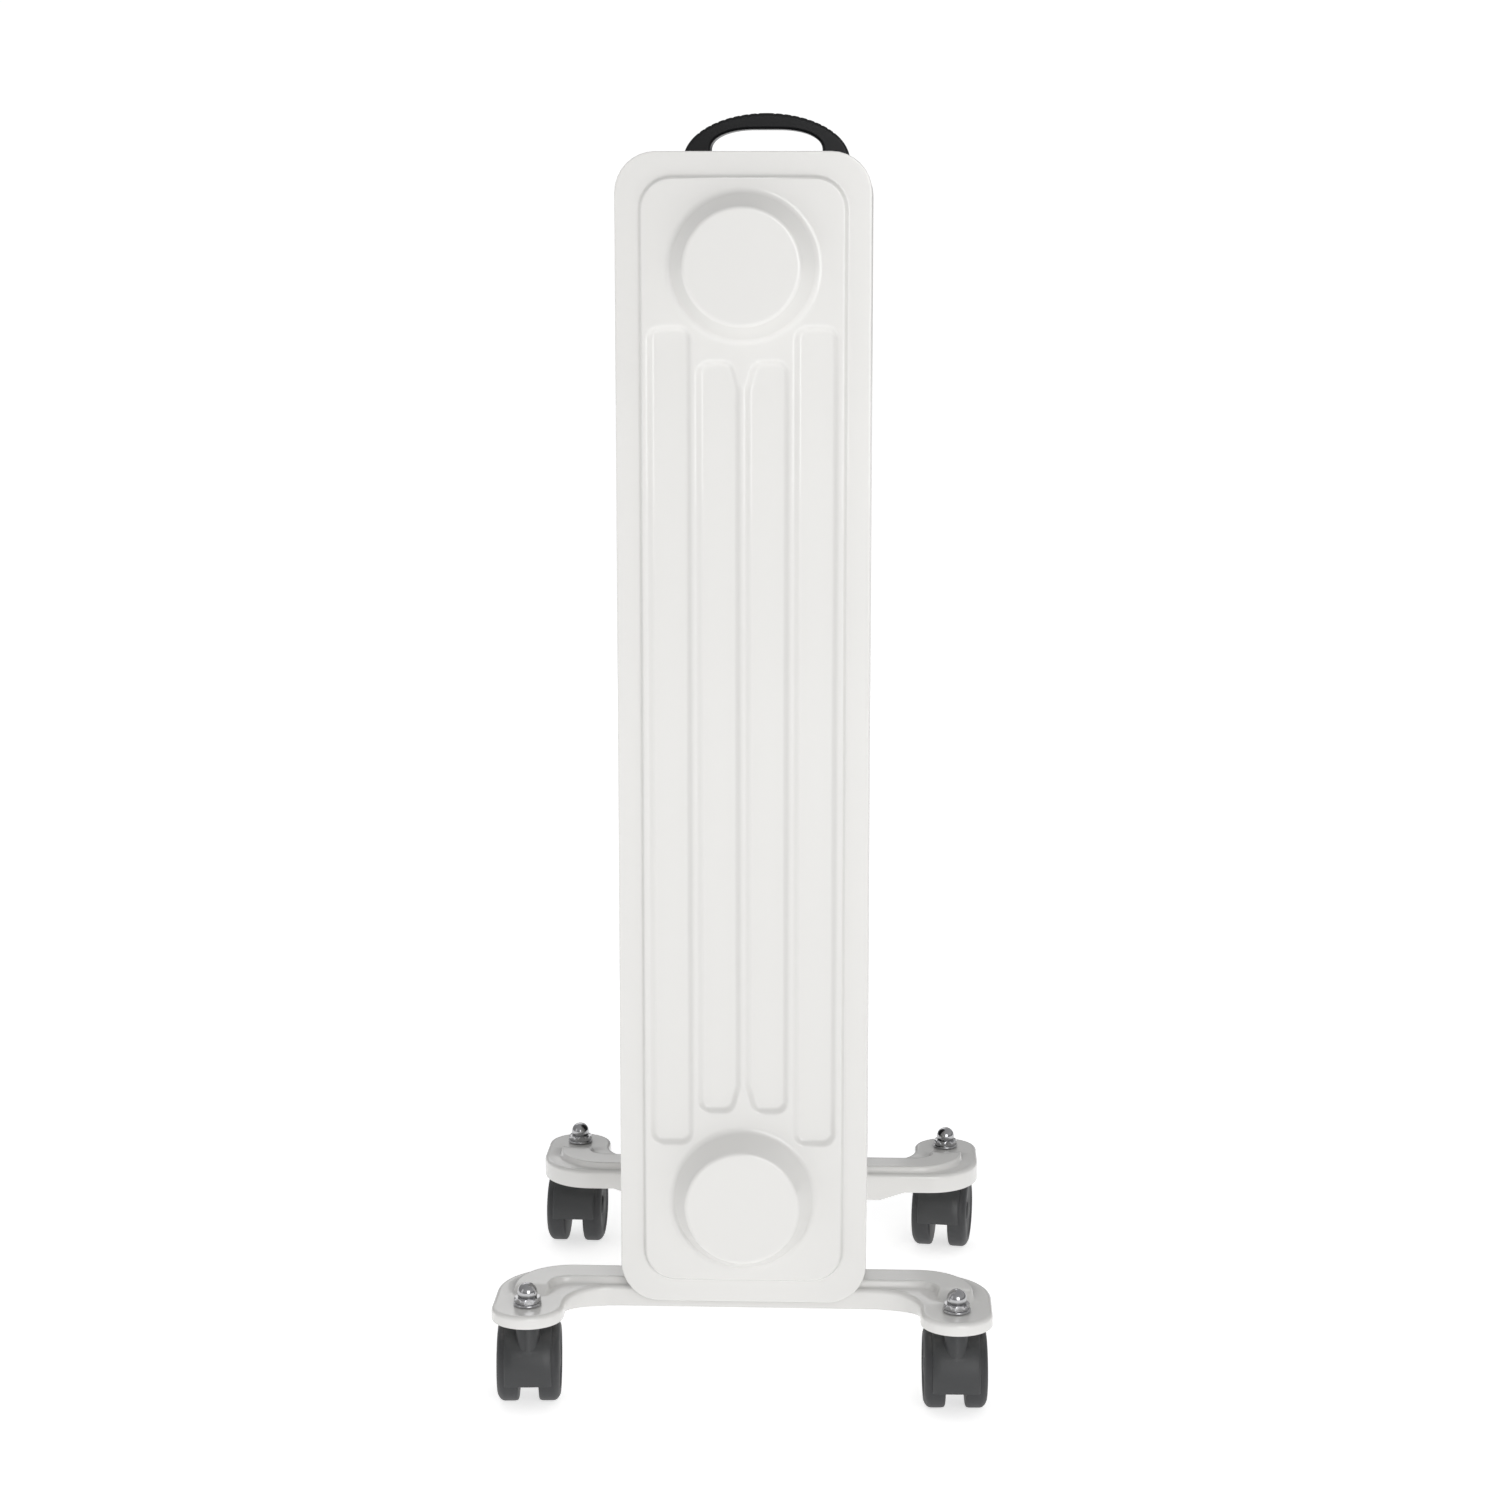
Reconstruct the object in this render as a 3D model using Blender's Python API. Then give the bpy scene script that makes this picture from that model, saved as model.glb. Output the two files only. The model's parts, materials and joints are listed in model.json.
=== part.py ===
"""Oil filled column radiator heater on four twin-wheel casters.

Seven hollow pressed-steel fins stand one behind the other along Y, joined by an upper and a lower header.
Two pressed brackets are clamped to the lower header with U-bolts and carry the casters on their end pads.
The control housing with the lifting handle stands against the last fin, at the +Y end.
All lengths are in metres, +Z is up, and the floor is at Z = 0.
"""
import math

import bmesh
import bpy
from mathutils import Matrix, Vector

MM = 0.001
GAP = 0.3 * MM

# Fins
FIN_COUNT = 7
FIN_PITCH = 36.0 * MM
FIN_WIDTH = 120.0 * MM
FIN_HEIGHT = 557.0 * MM
FIN_BOTTOM = 48.0 * MM
FIN_CORNER = 19.0 * MM
SHEET = 1.0 * MM
FIELD_INSET = 10.5 * MM
FIELD_SLOPE = 2.5 * MM
FIELD_HEIGHT = 4.0 * MM
FIELD_CORNER = 15.0 * MM
BOSS_INSET = 53.0 * MM
BOSS_BASE_R = 34.5 * MM
BOSS_DISC_R = 27.5 * MM
BOSS_HEIGHT = FIN_PITCH / 2.0 - GAP / 2.0
HEADER_HOLE_R = 16.0 * MM
VALLEY_WIDTH = 18.5 * MM
VALLEY_PITCH = 23.0 * MM
VALLEY_FLOOR = 1.9 * MM
VALLEY_SLOPE = 1.5 * MM
OUTER_VALLEY_INSET = 82.0 * MM
INNER_VALLEY_INSET = 97.0 * MM

# Brackets, heights counted from the lower edge of the fins
PLATEAU_Z = 8.0 * MM
LEDGE_Z = 4.6 * MM
SKIRT_Z = -5.5 * MM
APRON_Z = -10.0 * MM
APRON_HALF_LENGTH = 80.0 * MM
PLATEAU_HALF = 8.5 * MM
RIB_SLOPE = 1.0 * MM
RIB_HALF_LENGTH = 100.0 * MM
WAIST_HALF = 12.5 * MM
SHOULDER_X = 94.0 * MM
SHOULDER_Y = -18.0 * MM
SWEEP_X = 64.0 * MM
BRACKET_SHEET = 2.0 * MM
PAD_TOP_Z = LEDGE_Z
PAD_LIP_Z = -1.5 * MM
BOLT_X = 104.0 * MM
BOLT_OUT = 40.0 * MM
PAD_END_R = 17.5 * MM
SADDLE_R = 31.9 * MM
UBOLT_R = 31.3 * MM
UBOLT_ROD_R = 2.9 * MM
BOLT_HOLE_R = 3.4 * MM

# Casters, built with the swivel axis on the local Z axis and the wheels trailing towards +Y
WHEEL_R = 20.0 * MM
AXLE_TRAIL = 13.0 * MM
WHEEL_INNER_X = 5.0 * MM
WHEEL_TREAD_X = 12.8 * MM
WHEEL_OUTER_X = 15.6 * MM
HOOD_R = 21.6 * MM
HOOD_HALF = 11.5 * MM
HOOD_START = 198.0
HOOD_END = -5.0
HOOD_CLEARANCE_R = 20.5 * MM
WEB_HALF = 4.6 * MM
NECK_R = 5.5 * MM
NECK_TOP = 48.0 * MM
KINGPIN_R = 3.4 * MM
WASHER_R = 6.8 * MM
WASHER_THICK = 1.3 * MM
NUT_HEIGHT = 11.0 * MM
STUD_R = 3.0 * MM
STUD_REACH = 7.0 * MM
AXLE_R = 2.5 * MM
CASTER_TURNS = {
    "near_left": 3.5,
    "near_right": 2.0,
    "far_left": 178.0,
    "far_right": 172.0,
}

# Control end, depths counted from the middle plane of the last fin
HOUSING_HALF = 58.0 * MM
HOUSING_WALL = 2.5 * MM
HOUSING_NEAR = FIELD_HEIGHT + GAP
HOUSING_CORNER = 12.0 * MM
HOUSING_TOP = 592.0 * MM
HOUSING_BOTTOM = 60.0 * MM
HOUSING_DEPTH = 110.0 * MM
PANEL_LOW = (110.0 * MM, 466.0 * MM)
PANEL_HIGH = (94.0 * MM, 586.0 * MM)
PANEL_HALF = 51.0 * MM
PANEL_THICK = 2.5 * MM
HANDLE_DEPTH = 78.0 * MM
HANDLE_HALF_DEPTH = 10.0 * MM
HANDLE_TOP = 632.0 * MM
HANDLE_HALF = 46.5 * MM
HANDLE_LEG = 15.2 * MM
HANDLE_GRIP = 9.0 * MM
HANDLE_RISE = 26.0 * MM
HANDLE_INNER_RISE = 11.5 * MM
KNOB_UP = -14.0 * MM
KNOB_R = 24.0 * MM
SWITCH_UP = 34.0 * MM
GLAND_Z = 172.0 * MM
CLEAT_Z = 250.0 * MM
SWITCH_X = 22.0 * MM
ROCKER_TILT = 10.0

STACK_DEPTH = FIN_PITCH * (FIN_COUNT - 1)
NEAR_REACH = BOLT_OUT - FIN_PITCH / 2.0 + PAD_END_R
FAR_REACH = HOUSING_DEPTH + 17.5 * MM
FIRST_FIN_Y = -(STACK_DEPTH + NEAR_REACH + FAR_REACH) / 2.0 + NEAR_REACH
LAST_FIN_Y = FIRST_FIN_Y + STACK_DEPTH
LOWER_HEADER_Z = FIN_BOTTOM + BOSS_INSET
UPPER_HEADER_Z = FIN_BOTTOM + FIN_HEIGHT - BOSS_INSET

MATERIALS = {
    "white_paint": ((0.80, 0.79, 0.76), 0.25, 0.0),
    "black_plastic": ((0.012, 0.013, 0.014), 0.35, 0.0),
    "charcoal_plastic": ((0.045, 0.047, 0.05), 0.45, 0.0),
    "chrome": ((0.75, 0.75, 0.76), 0.12, 1.0),
    "zinc_steel": ((0.45, 0.45, 0.44), 0.38, 1.0),
    "red_lens": ((0.55, 0.03, 0.02), 0.15, 0.0),
    "ceramic": ((0.70, 0.67, 0.60), 0.6, 0.0),
}


# ---------------------------------------------------------------- tools

def clear_scene():
    """Removes every object of the starting scene."""
    for thing in list(bpy.data.objects):
        bpy.data.objects.remove(thing, do_unlink=True)


def material(name, finish):
    """A Principled material of its own for one sub-part."""
    colour, roughness, metallic = MATERIALS[finish]
    result = bpy.data.materials.new(name)
    result.use_nodes = True
    shader = result.node_tree.nodes["Principled BSDF"]
    shader.inputs["Base Color"].default_value = (*colour, 1.0)
    shader.inputs["Roughness"].default_value = roughness
    shader.inputs["Metallic"].default_value = metallic
    return result


def place(name, mesh, finish, location=(0.0, 0.0, 0.0), turn=0.0, parent=None):
    """Adds a mesh to the scene as one named sub-part, turned about Z by degrees."""
    thing = bpy.data.objects.new(name, mesh)
    bpy.context.scene.collection.objects.link(thing)
    thing.location = location
    thing.rotation_euler = (0.0, 0.0, math.radians(turn))
    thing.parent = parent
    if not mesh.materials:
        mesh.materials.append(None)
    thing.material_slots[0].link = "OBJECT"
    thing.material_slots[0].material = material(name, finish)
    return thing


def empty(name, location, rotation=None, parent=None):
    """An empty that carries the pieces of one sub-assembly."""
    thing = bpy.data.objects.new(name, None)
    bpy.context.scene.collection.objects.link(thing)
    thing.location = location
    if rotation is not None:
        thing.rotation_euler = rotation
    thing.parent = parent
    return thing


def loft(rings):
    """A closed solid through rings that hold the same number of points, with flat ends."""
    solid = bmesh.new()
    loops = [[solid.verts.new(point) for point in ring] for ring in rings]
    count = len(rings[0])
    for low, high in zip(loops, loops[1:]):
        for i in range(count):
            j = (i + 1) % count
            solid.faces.new((low[i], low[j], high[j], high[i]))
    solid.faces.new(loops[0][::-1])
    solid.faces.new(loops[-1])
    bmesh.ops.recalc_face_normals(solid, faces=solid.faces)
    return solid


def lathe(profile, steps):
    """Turns a profile of (radius, height) about Z; ends on the axis close, any other profile is a ring."""
    solid = bmesh.new()
    loops = []
    for radius, height in profile:
        if radius == 0.0:
            loops.append([solid.verts.new((0.0, 0.0, height))])
            continue
        angles = [2.0 * math.pi * step / steps for step in range(steps)]
        loops.append([solid.verts.new((radius * math.cos(a), radius * math.sin(a), height)) for a in angles])
    pairs = list(zip(loops, loops[1:]))
    if profile[0][0] > 0.0:
        pairs.append((loops[-1], loops[0]))
    for low, high in pairs:
        for i in range(steps):
            j = (i + 1) % steps
            if len(low) == 1:
                solid.faces.new((low[0], high[i], high[j]))
            elif len(high) == 1:
                solid.faces.new((low[i], low[j], high[0]))
            else:
                solid.faces.new((low[i], low[j], high[j], high[i]))
    bmesh.ops.recalc_face_normals(solid, faces=solid.faces)
    return solid


def disc(radius, low, high, steps):
    """A plain round bar on the Z axis."""
    return lathe([(0.0, low), (radius, low), (radius, high), (0.0, high)], steps)


def block(low, high):
    """A box between two corners."""
    (x0, y0, z0), (x1, y1, z1) = low, high
    base = [(x0, y0), (x1, y0), (x1, y1), (x0, y1)]
    return loft([[(x, y, z0) for x, y in base], [(x, y, z1) for x, y in base]])


def prism(outline, plane, low, high):
    """Extrudes an outline of two coordinates along the third axis, named by plane."""
    def lift(point, depth):
        if plane == "x":
            return (depth, point[0], point[1])
        if plane == "y":
            return (point[0], depth, point[1])
        return (point[0], point[1], depth)
    return loft([[lift(p, low) for p in outline], [lift(p, high) for p in outline]])


def moved(solid, matrix):
    """The same solid after a move or a turn."""
    bmesh.ops.transform(solid, matrix=matrix, verts=solid.verts)
    return solid


def shifted(solid, x=0.0, y=0.0, z=0.0):
    """The same solid moved along the axes."""
    return moved(solid, Matrix.Translation((x, y, z)))


def turned(solid, axis, degrees):
    """The same solid turned about one of the axes through the origin."""
    return moved(solid, Matrix.Rotation(math.radians(degrees), 4, axis))


def arc(centre, radius, start, end, steps):
    """Points on an arc between two angles in degrees, both ends included."""
    points = []
    for step in range(steps + 1):
        angle = math.radians(start + (end - start) * step / steps)
        points.append((centre[0] + radius * math.cos(angle), centre[1] + radius * math.sin(angle)))
    return points


def rounded(half_x, low, high, corner, steps):
    """A rectangle with round corners in two coordinates, centred on the first one."""
    x = half_x - corner
    outline = arc((x, low + corner), corner, -90.0, 0.0, steps)
    outline += arc((x, high - corner), corner, 0.0, 90.0, steps)
    outline += arc((-x, high - corner), corner, 90.0, 180.0, steps)
    outline += arc((-x, low + corner), corner, 180.0, 270.0, steps)
    return outline


def to_mesh(name, solid):
    """Turns a bmesh into mesh data."""
    mesh = bpy.data.meshes.new(name)
    solid.to_mesh(mesh)
    solid.free()
    return mesh


def combine(name, base, adds=(), cuts=()):
    """Joins solids to a base and then cuts others out of it, with exact booleans."""
    host = bpy.data.objects.new(name, to_mesh(name, base))
    bpy.context.scene.collection.objects.link(host)
    tools = []
    for operation, solids in (("UNION", adds), ("DIFFERENCE", cuts)):
        for solid in solids:
            tool = bpy.data.objects.new("tool", to_mesh("tool", solid))
            bpy.context.scene.collection.objects.link(tool)
            tools.append(tool)
            step = host.modifiers.new("step", "BOOLEAN")
            step.operation = operation
            step.solver = "EXACT"
            step.object = tool
    bpy.context.view_layer.update()
    evaluated = host.evaluated_get(bpy.context.evaluated_depsgraph_get())
    result = bpy.data.meshes.new_from_object(evaluated)
    for thing in [host] + tools:
        bpy.data.objects.remove(thing, do_unlink=True)
    tidy = bmesh.new()
    tidy.from_mesh(result)
    bmesh.ops.remove_doubles(tidy, verts=tidy.verts, dist=0.002 * MM)
    bmesh.ops.dissolve_limit(tidy, angle_limit=math.radians(0.5), verts=tidy.verts, edges=tidy.edges)
    tidy.to_mesh(result)
    tidy.free()
    result.name = name
    return result


def rod_mesh(name, path, radius):
    """A closed round bar along a path."""
    curve = bpy.data.curves.new(name, "CURVE")
    curve.dimensions = "3D"
    curve.bevel_depth = radius
    curve.bevel_resolution = 2
    curve.use_fill_caps = True
    spline = curve.splines.new("POLY")
    spline.points.add(len(path) - 1)
    for point, spot in zip(spline.points, path):
        point.co = (*spot, 1.0)
    carrier = bpy.data.objects.new(name, curve)
    bpy.context.scene.collection.objects.link(carrier)
    bpy.context.view_layer.update()
    mesh = bpy.data.meshes.new_from_object(carrier.evaluated_get(bpy.context.evaluated_depsgraph_get()))
    bpy.data.objects.remove(carrier, do_unlink=True)
    tidy = bmesh.new()
    tidy.from_mesh(mesh)
    bmesh.ops.remove_doubles(tidy, verts=tidy.verts, dist=0.002 * MM)
    bmesh.ops.recalc_face_normals(tidy, faces=tidy.faces)
    tidy.to_mesh(mesh)
    tidy.free()
    return mesh


def smooth(thing, degrees=35.0):
    """Shades the round faces of a piece smooth."""
    thing.data.shade_smooth()
    thing.data.set_sharp_from_angle(angle=math.radians(degrees))
    return thing


# ---------------------------------------------------------------- fins

def valley(centre_x, inset, floor, grow):
    """A long sunk channel with round ends and sloping walls; grow widens it for the inner surface."""
    half = VALLEY_WIDTH / 2.0 + grow
    low = inset - grow
    high = FIN_HEIGHT - inset + grow
    rings = []
    for depth, spread in ((FIELD_HEIGHT + 1.0 * MM, VALLEY_SLOPE), (floor, -VALLEY_SLOPE)):
        width = half + spread / 2.0
        rings.append([(centre_x + x, -depth, z) for x, z in rounded(width, low, high, width * 0.999, 4)])
    return loft(rings)


def boss(height, base_r, disc_r, root, header_z, steps):
    """A round conical boss that rises from the field towards -Y."""
    cone = lathe([(0.0, root), (base_r, root), (disc_r, height), (0.0, height)], steps)
    return shifted(turned(cone, "X", 90.0), z=header_z)


def header_hole(header_z, radius):
    """A cutter through a boss along Y."""
    cutter = disc(radius, 0.5 * FIELD_HEIGHT, FIN_PITCH, 12)
    return shifted(turned(cutter, "X", 90.0), z=header_z)


def fin_shell(name, steps, with_valleys, holes):
    """One pressed half of a fin: a flat flange, the raised field and two bosses, hollow behind."""
    back = -GAP / 2.0
    face = back - SHEET
    inner_field = FIELD_HEIGHT - SHEET
    headers = (BOSS_INSET, FIN_HEIGHT - BOSS_INSET)

    def plate(inset, corner, depth):
        outline = rounded(FIN_WIDTH / 2.0 - inset, inset, FIN_HEIGHT - inset, corner, 2)
        return [(x, depth, z) for x, z in outline]

    flange = loft([plate(0.0, FIN_CORNER, back), plate(0.0, FIN_CORNER, face)])
    field_top = FIELD_INSET + FIELD_SLOPE
    field = loft([plate(FIELD_INSET, FIELD_CORNER, back - 0.2 * MM), plate(field_top, FIELD_CORNER, -FIELD_HEIGHT)])
    hollow_field = loft([
        plate(FIELD_INSET + SHEET, FIELD_CORNER - SHEET, 1.0 * MM),
        plate(FIELD_INSET + SHEET, FIELD_CORNER - SHEET, -0.2 * MM),
        plate(field_top + SHEET, FIELD_CORNER - SHEET, -inner_field),
    ])
    adds = [field]
    cuts = []
    bosses_inside = []
    for header in headers:
        adds.append(boss(BOSS_HEIGHT, BOSS_BASE_R, BOSS_DISC_R, 2.0 * MM, header, steps))
        inside = boss(BOSS_HEIGHT - SHEET, BOSS_BASE_R - SHEET, BOSS_DISC_R - SHEET, 2.1 * MM, header, steps)
        bosses_inside.append(inside)
    if with_valleys:
        columns = [(side * reach * VALLEY_PITCH, inset)
                   for side in (-1.0, 1.0)
                   for reach, inset in ((0.5, INNER_VALLEY_INSET), (1.5, OUTER_VALLEY_INSET))]
        kept = [valley(x, inset, VALLEY_FLOOR - SHEET, SHEET) for x, inset in columns]
        cavity_mesh = combine("cavity", hollow_field, cuts=kept)
        cavity = bmesh.new()
        cavity.from_mesh(cavity_mesh)
        bpy.data.meshes.remove(cavity_mesh)
        cuts += [valley(x, inset, VALLEY_FLOOR, 0.0) for x, inset in columns]
        cuts.append(cavity)
    else:
        cuts.append(hollow_field)
    cuts += bosses_inside
    cuts += [header_hole(z, radius) for z, radius in zip(headers, holes) if radius > 0.0]
    return combine(name, flange, adds, cuts)


def build_fins():
    """Fourteen half shells, welded in pairs at their flanges."""
    front = fin_shell("end_shell", 16, True, (0.0, 0.0))
    inner = fin_shell("inner_shell", 12, False, (HEADER_HOLE_R, HEADER_HOLE_R))
    rear = fin_shell("service_shell", 16, True, (HEADER_HOLE_R, 5.0 * MM))
    for number in range(1, FIN_COUNT + 1):
        y = FIRST_FIN_Y + FIN_PITCH * (number - 1)
        spot = (0.0, y, FIN_BOTTOM)
        place(f"fin_{number}_front_shell", front if number == 1 else inner, "white_paint", spot)
        place(f"fin_{number}_rear_shell", rear if number == FIN_COUNT else inner, "white_paint", spot, 180.0)


# ---------------------------------------------------------------- brackets

def bracket_outline(inset):
    """The bracket from above: a straight waist and two round-ended arms that sweep towards -Y."""
    end_r = PAD_END_R - inset
    side = BOLT_X + end_r
    half = WAIST_HALF - inset
    right = [(SHOULDER_X, half)]
    for x, y in arc((0.0, 0.0), 1.0, 90.0, 0.0, 5)[1:]:
        right.append((SHOULDER_X + (side - SHOULDER_X) * x, SHOULDER_Y + (half - SHOULDER_Y) * y))
    right += arc((BOLT_X, -BOLT_OUT), end_r, 0.0, -180.0, 8)
    sweep = BOLT_X - PAD_END_R - SWEEP_X
    right += arc((SWEEP_X, -WAIST_HALF - sweep), sweep + inset, 0.0, 90.0, 5)
    return right + [(-x, y) for x, y in right[::-1]]


def plateau(spread, low, high):
    """The raised rib along the waist; spread widens it at its foot."""
    rings = []
    for grow, z in ((RIB_SLOPE, low), (0.0, high)):
        half = PLATEAU_HALF + spread + grow
        outline = rounded(RIB_HALF_LENGTH + spread + grow, -half, half, half * 0.999, 3)
        rings.append([(x, y, z) for x, y in outline])
    return loft(rings)


def bracket_mesh():
    """A pressed bracket, open below, with a cradle for the header and holes for its fasteners."""
    t = BRACKET_SHEET
    shell = prism(bracket_outline(0.0), "z", SKIRT_Z, LEDGE_Z)
    hollow = prism(bracket_outline(t), "z", SKIRT_Z - 1.0 * MM, LEDGE_Z - t)
    arm_front = -BOLT_OUT - 2.0 * PAD_END_R
    arm_cut = prism([(arm_front, PAD_LIP_Z), (-BOLT_OUT + 8.0 * MM, PAD_LIP_Z), (-WAIST_HALF - 1.0 * MM, SKIRT_Z),
                     (-WAIST_HALF - 1.0 * MM, 2.0 * SKIRT_Z), (arm_front, 2.0 * SKIRT_Z)],
                    "x", -2.0 * BOLT_X, 2.0 * BOLT_X)
    rib = plateau(0.0, LEDGE_Z - 0.5 * MM, PLATEAU_Z)
    rib_hollow = plateau(-t, LEDGE_Z - 1.5 * t, PLATEAU_Z - t)

    slope = 6.0 * MM
    root = SKIRT_Z + t
    apron = prism([(-APRON_HALF_LENGTH, root), (-APRON_HALF_LENGTH, SKIRT_Z - 1.0 * MM),
                   (-APRON_HALF_LENGTH + slope, APRON_Z), (APRON_HALF_LENGTH - slope, APRON_Z),
                   (APRON_HALF_LENGTH, SKIRT_Z - 1.0 * MM), (APRON_HALF_LENGTH, root)],
                  "y", WAIST_HALF - t + 0.01 * MM, WAIST_HALF - 0.01 * MM)

    reach = 36.0
    under_reach = reach - 5.0
    cradle = arc((0.0, BOSS_INSET), SADDLE_R, -90.0 - reach, -90.0 + reach, 6)
    under = arc((0.0, BOSS_INSET), SADDLE_R + t, -90.0 + under_reach, -90.0 - under_reach, 6)
    foot = 26.0 * MM
    seat = PLATEAU_Z - 1.0 * MM
    saddle_line = [(-foot, seat)] + cradle + [(foot, seat), (foot - t, seat)] + under + [(-foot + t, seat)]
    saddle = prism(saddle_line, "y", -PLATEAU_HALF + 0.6 * MM, PLATEAU_HALF - 0.6 * MM)

    cuts = [hollow, arm_cut, rib_hollow]
    for side in (-1.0, 1.0):
        cuts.append(shifted(disc(BOLT_HOLE_R, -20.0 * MM, 20.0 * MM, 12), x=side * BOLT_X, y=-BOLT_OUT))
        cuts.append(shifted(disc(BOLT_HOLE_R, -20.0 * MM, 20.0 * MM, 12), x=side * UBOLT_R))
    return combine("bracket", shell, [rib, apron, saddle], cuts)


def ubolt_mesh():
    """A bent rod over the lower header, with both legs down through the bracket."""
    foot = -9.0 * MM
    path = [(UBOLT_R, foot), (UBOLT_R, 20.0 * MM)]
    path += arc((0.0, BOSS_INSET), UBOLT_R, 0.0, 180.0, 10)
    path += [(-UBOLT_R, 20.0 * MM), (-UBOLT_R, foot)]
    return rod_mesh("ubolt", [(x, 0.0, z) for x, z in path], UBOLT_ROD_R)


def bracket_frames():
    """The name, place and turn of both brackets."""
    inward = FIN_PITCH / 2.0
    yield "near", (0.0, FIRST_FIN_Y + inward, FIN_BOTTOM), 0.0
    yield "far", (0.0, LAST_FIN_Y - inward, FIN_BOTTOM), 180.0


def build_brackets():
    """Both brackets and their U-bolts."""
    bracket = bracket_mesh()
    ubolt = ubolt_mesh()
    for name, spot, turn in bracket_frames():
        place(f"{name}_bracket", bracket, "white_paint", spot, turn)
        smooth(place(f"{name}_u_bolt", ubolt, "zinc_steel", spot, turn))


# ---------------------------------------------------------------- casters

def caster_housing_mesh():
    """The hood over both wheels, the web between them and the neck that holds the kingpin."""
    trail = AXLE_TRAIL
    hood_line = arc((trail, WHEEL_R), HOOD_R, HOOD_START, HOOD_END, 12) + [(trail + 3.0 * MM, WHEEL_R)]
    hood = prism(hood_line, "x", -HOOD_HALF, HOOD_HALF)
    web_line = arc((trail, WHEEL_R), HOOD_R - 3.0 * MM, 60.0, HOOD_END + 1.0, 3)
    web_line += arc((trail, WHEEL_R), 6.0 * MM, -60.0, -130.0, 2)
    web_line += [(trail - 4.0 * MM, WHEEL_R + 4.0 * MM)]
    web = prism(web_line, "x", -WEB_HALF - GAP, WEB_HALF + GAP)
    neck = disc(NECK_R, 29.0 * MM, NECK_TOP, 14)
    wells = []
    for side in (-1.0, 1.0):
        well = turned(disc(HOOD_CLEARANCE_R, WEB_HALF, HOOD_HALF + 2.0 * MM, 24), "Y", side * 90.0)
        wells.append(shifted(well, y=trail, z=WHEEL_R))
    axle_hole = shifted(turned(disc(AXLE_R + 1.2 * GAP, -15.0 * MM, 15.0 * MM, 12), "Y", 90.0), y=trail, z=WHEEL_R)
    king_hole = disc(KINGPIN_R + 0.14 * MM, 30.5 * MM, NECK_TOP + 5.0 * MM, 12)
    return combine("caster_housing", hood, [web, neck], wells + [axle_hole, king_hole])


def wheel_mesh():
    """One wheel with a domed outer face, its axis on Z and its outer side towards +Z."""
    bore = AXLE_R + 0.18 * MM
    profile = [(0.0, WHEEL_OUTER_X), (11.0 * MM, WHEEL_OUTER_X - 0.4 * MM), (17.6 * MM, WHEEL_OUTER_X - 1.3 * MM),
               (WHEEL_R, WHEEL_TREAD_X), (WHEEL_R, WHEEL_INNER_X), (bore, WHEEL_INNER_X), (bore, 12.0 * MM),
               (0.0, 12.0 * MM)]
    return to_mesh("wheel", turned(lathe(profile, 20), "Y", 90.0))


def kingpin_mesh():
    """The fixed stud that a caster turns on, with the collar under the pad and a thread for the dome nut."""
    roof = FIN_BOTTOM + PAD_TOP_Z - BRACKET_SHEET
    top = FIN_BOTTOM + PAD_TOP_Z + STUD_REACH
    profile = [(0.0, 31.5 * MM), (KINGPIN_R, 31.5 * MM), (KINGPIN_R, NECK_TOP + GAP), (6.5 * MM, NECK_TOP + GAP),
               (6.5 * MM, roof - GAP), (STUD_R, roof - GAP), (STUD_R, top), (0.0, top)]
    return to_mesh("kingpin", lathe(profile, 12))


def dome_nut_mesh():
    """A cap nut with a round dome and its captive washer, the seat on the local XY plane."""
    crown = lathe([(0.0, 0.0), (WASHER_R, 0.0), (WASHER_R, WASHER_THICK), (5.9 * MM, WASHER_THICK),
                   (5.9 * MM, 4.0 * MM), (4.9 * MM, 4.7 * MM), (4.9 * MM, 7.3 * MM), (3.6 * MM, 9.9 * MM),
                   (0.0, NUT_HEIGHT)], 12)
    bore = disc(STUD_R + GAP, -1.0 * MM, STUD_REACH + 0.5 * MM, 12)
    return combine("dome_nut", crown, cuts=[bore])


def caster_frames():
    """The name and the swivel point of each caster."""
    for end, spot, turn in bracket_frames():
        out = -1.0 if end == "near" else 1.0
        for side_name, side in (("left", -1.0), ("right", 1.0)):
            yield f"{end}_{side_name}", (side * BOLT_X, spot[1] + out * BOLT_OUT, 0.0)


def build_casters():
    """Four casters; each turns on its own empty, and each wheel on an empty at the axle."""
    housing = caster_housing_mesh()
    wheel = wheel_mesh()
    kingpin = kingpin_mesh()
    axle = to_mesh("axle", turned(disc(AXLE_R, -11.6 * MM, 11.6 * MM, 12), "Y", 90.0))
    nut = dome_nut_mesh()
    for name, spot in caster_frames():
        swivel = empty(f"{name}_swivel", spot, (0.0, 0.0, math.radians(CASTER_TURNS[name])))
        centre = empty(f"{name}_axle_line", (0.0, AXLE_TRAIL, WHEEL_R), parent=swivel)
        smooth(place(f"{name}_caster_housing", housing, "charcoal_plastic", parent=swivel))
        smooth(place(f"{name}_axle", axle, "zinc_steel", parent=centre))
        smooth(place(f"{name}_wheel_outer", wheel, "charcoal_plastic", parent=centre))
        smooth(place(f"{name}_wheel_inner", wheel, "charcoal_plastic", parent=centre, turn=180.0))
        smooth(place(f"{name}_kingpin", kingpin, "zinc_steel", spot))
        smooth(place(f"{name}_dome_nut", nut, "chrome", (spot[0], spot[1], FIN_BOTTOM + PAD_TOP_Z + GAP)))


# ---------------------------------------------------------------- control end

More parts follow.
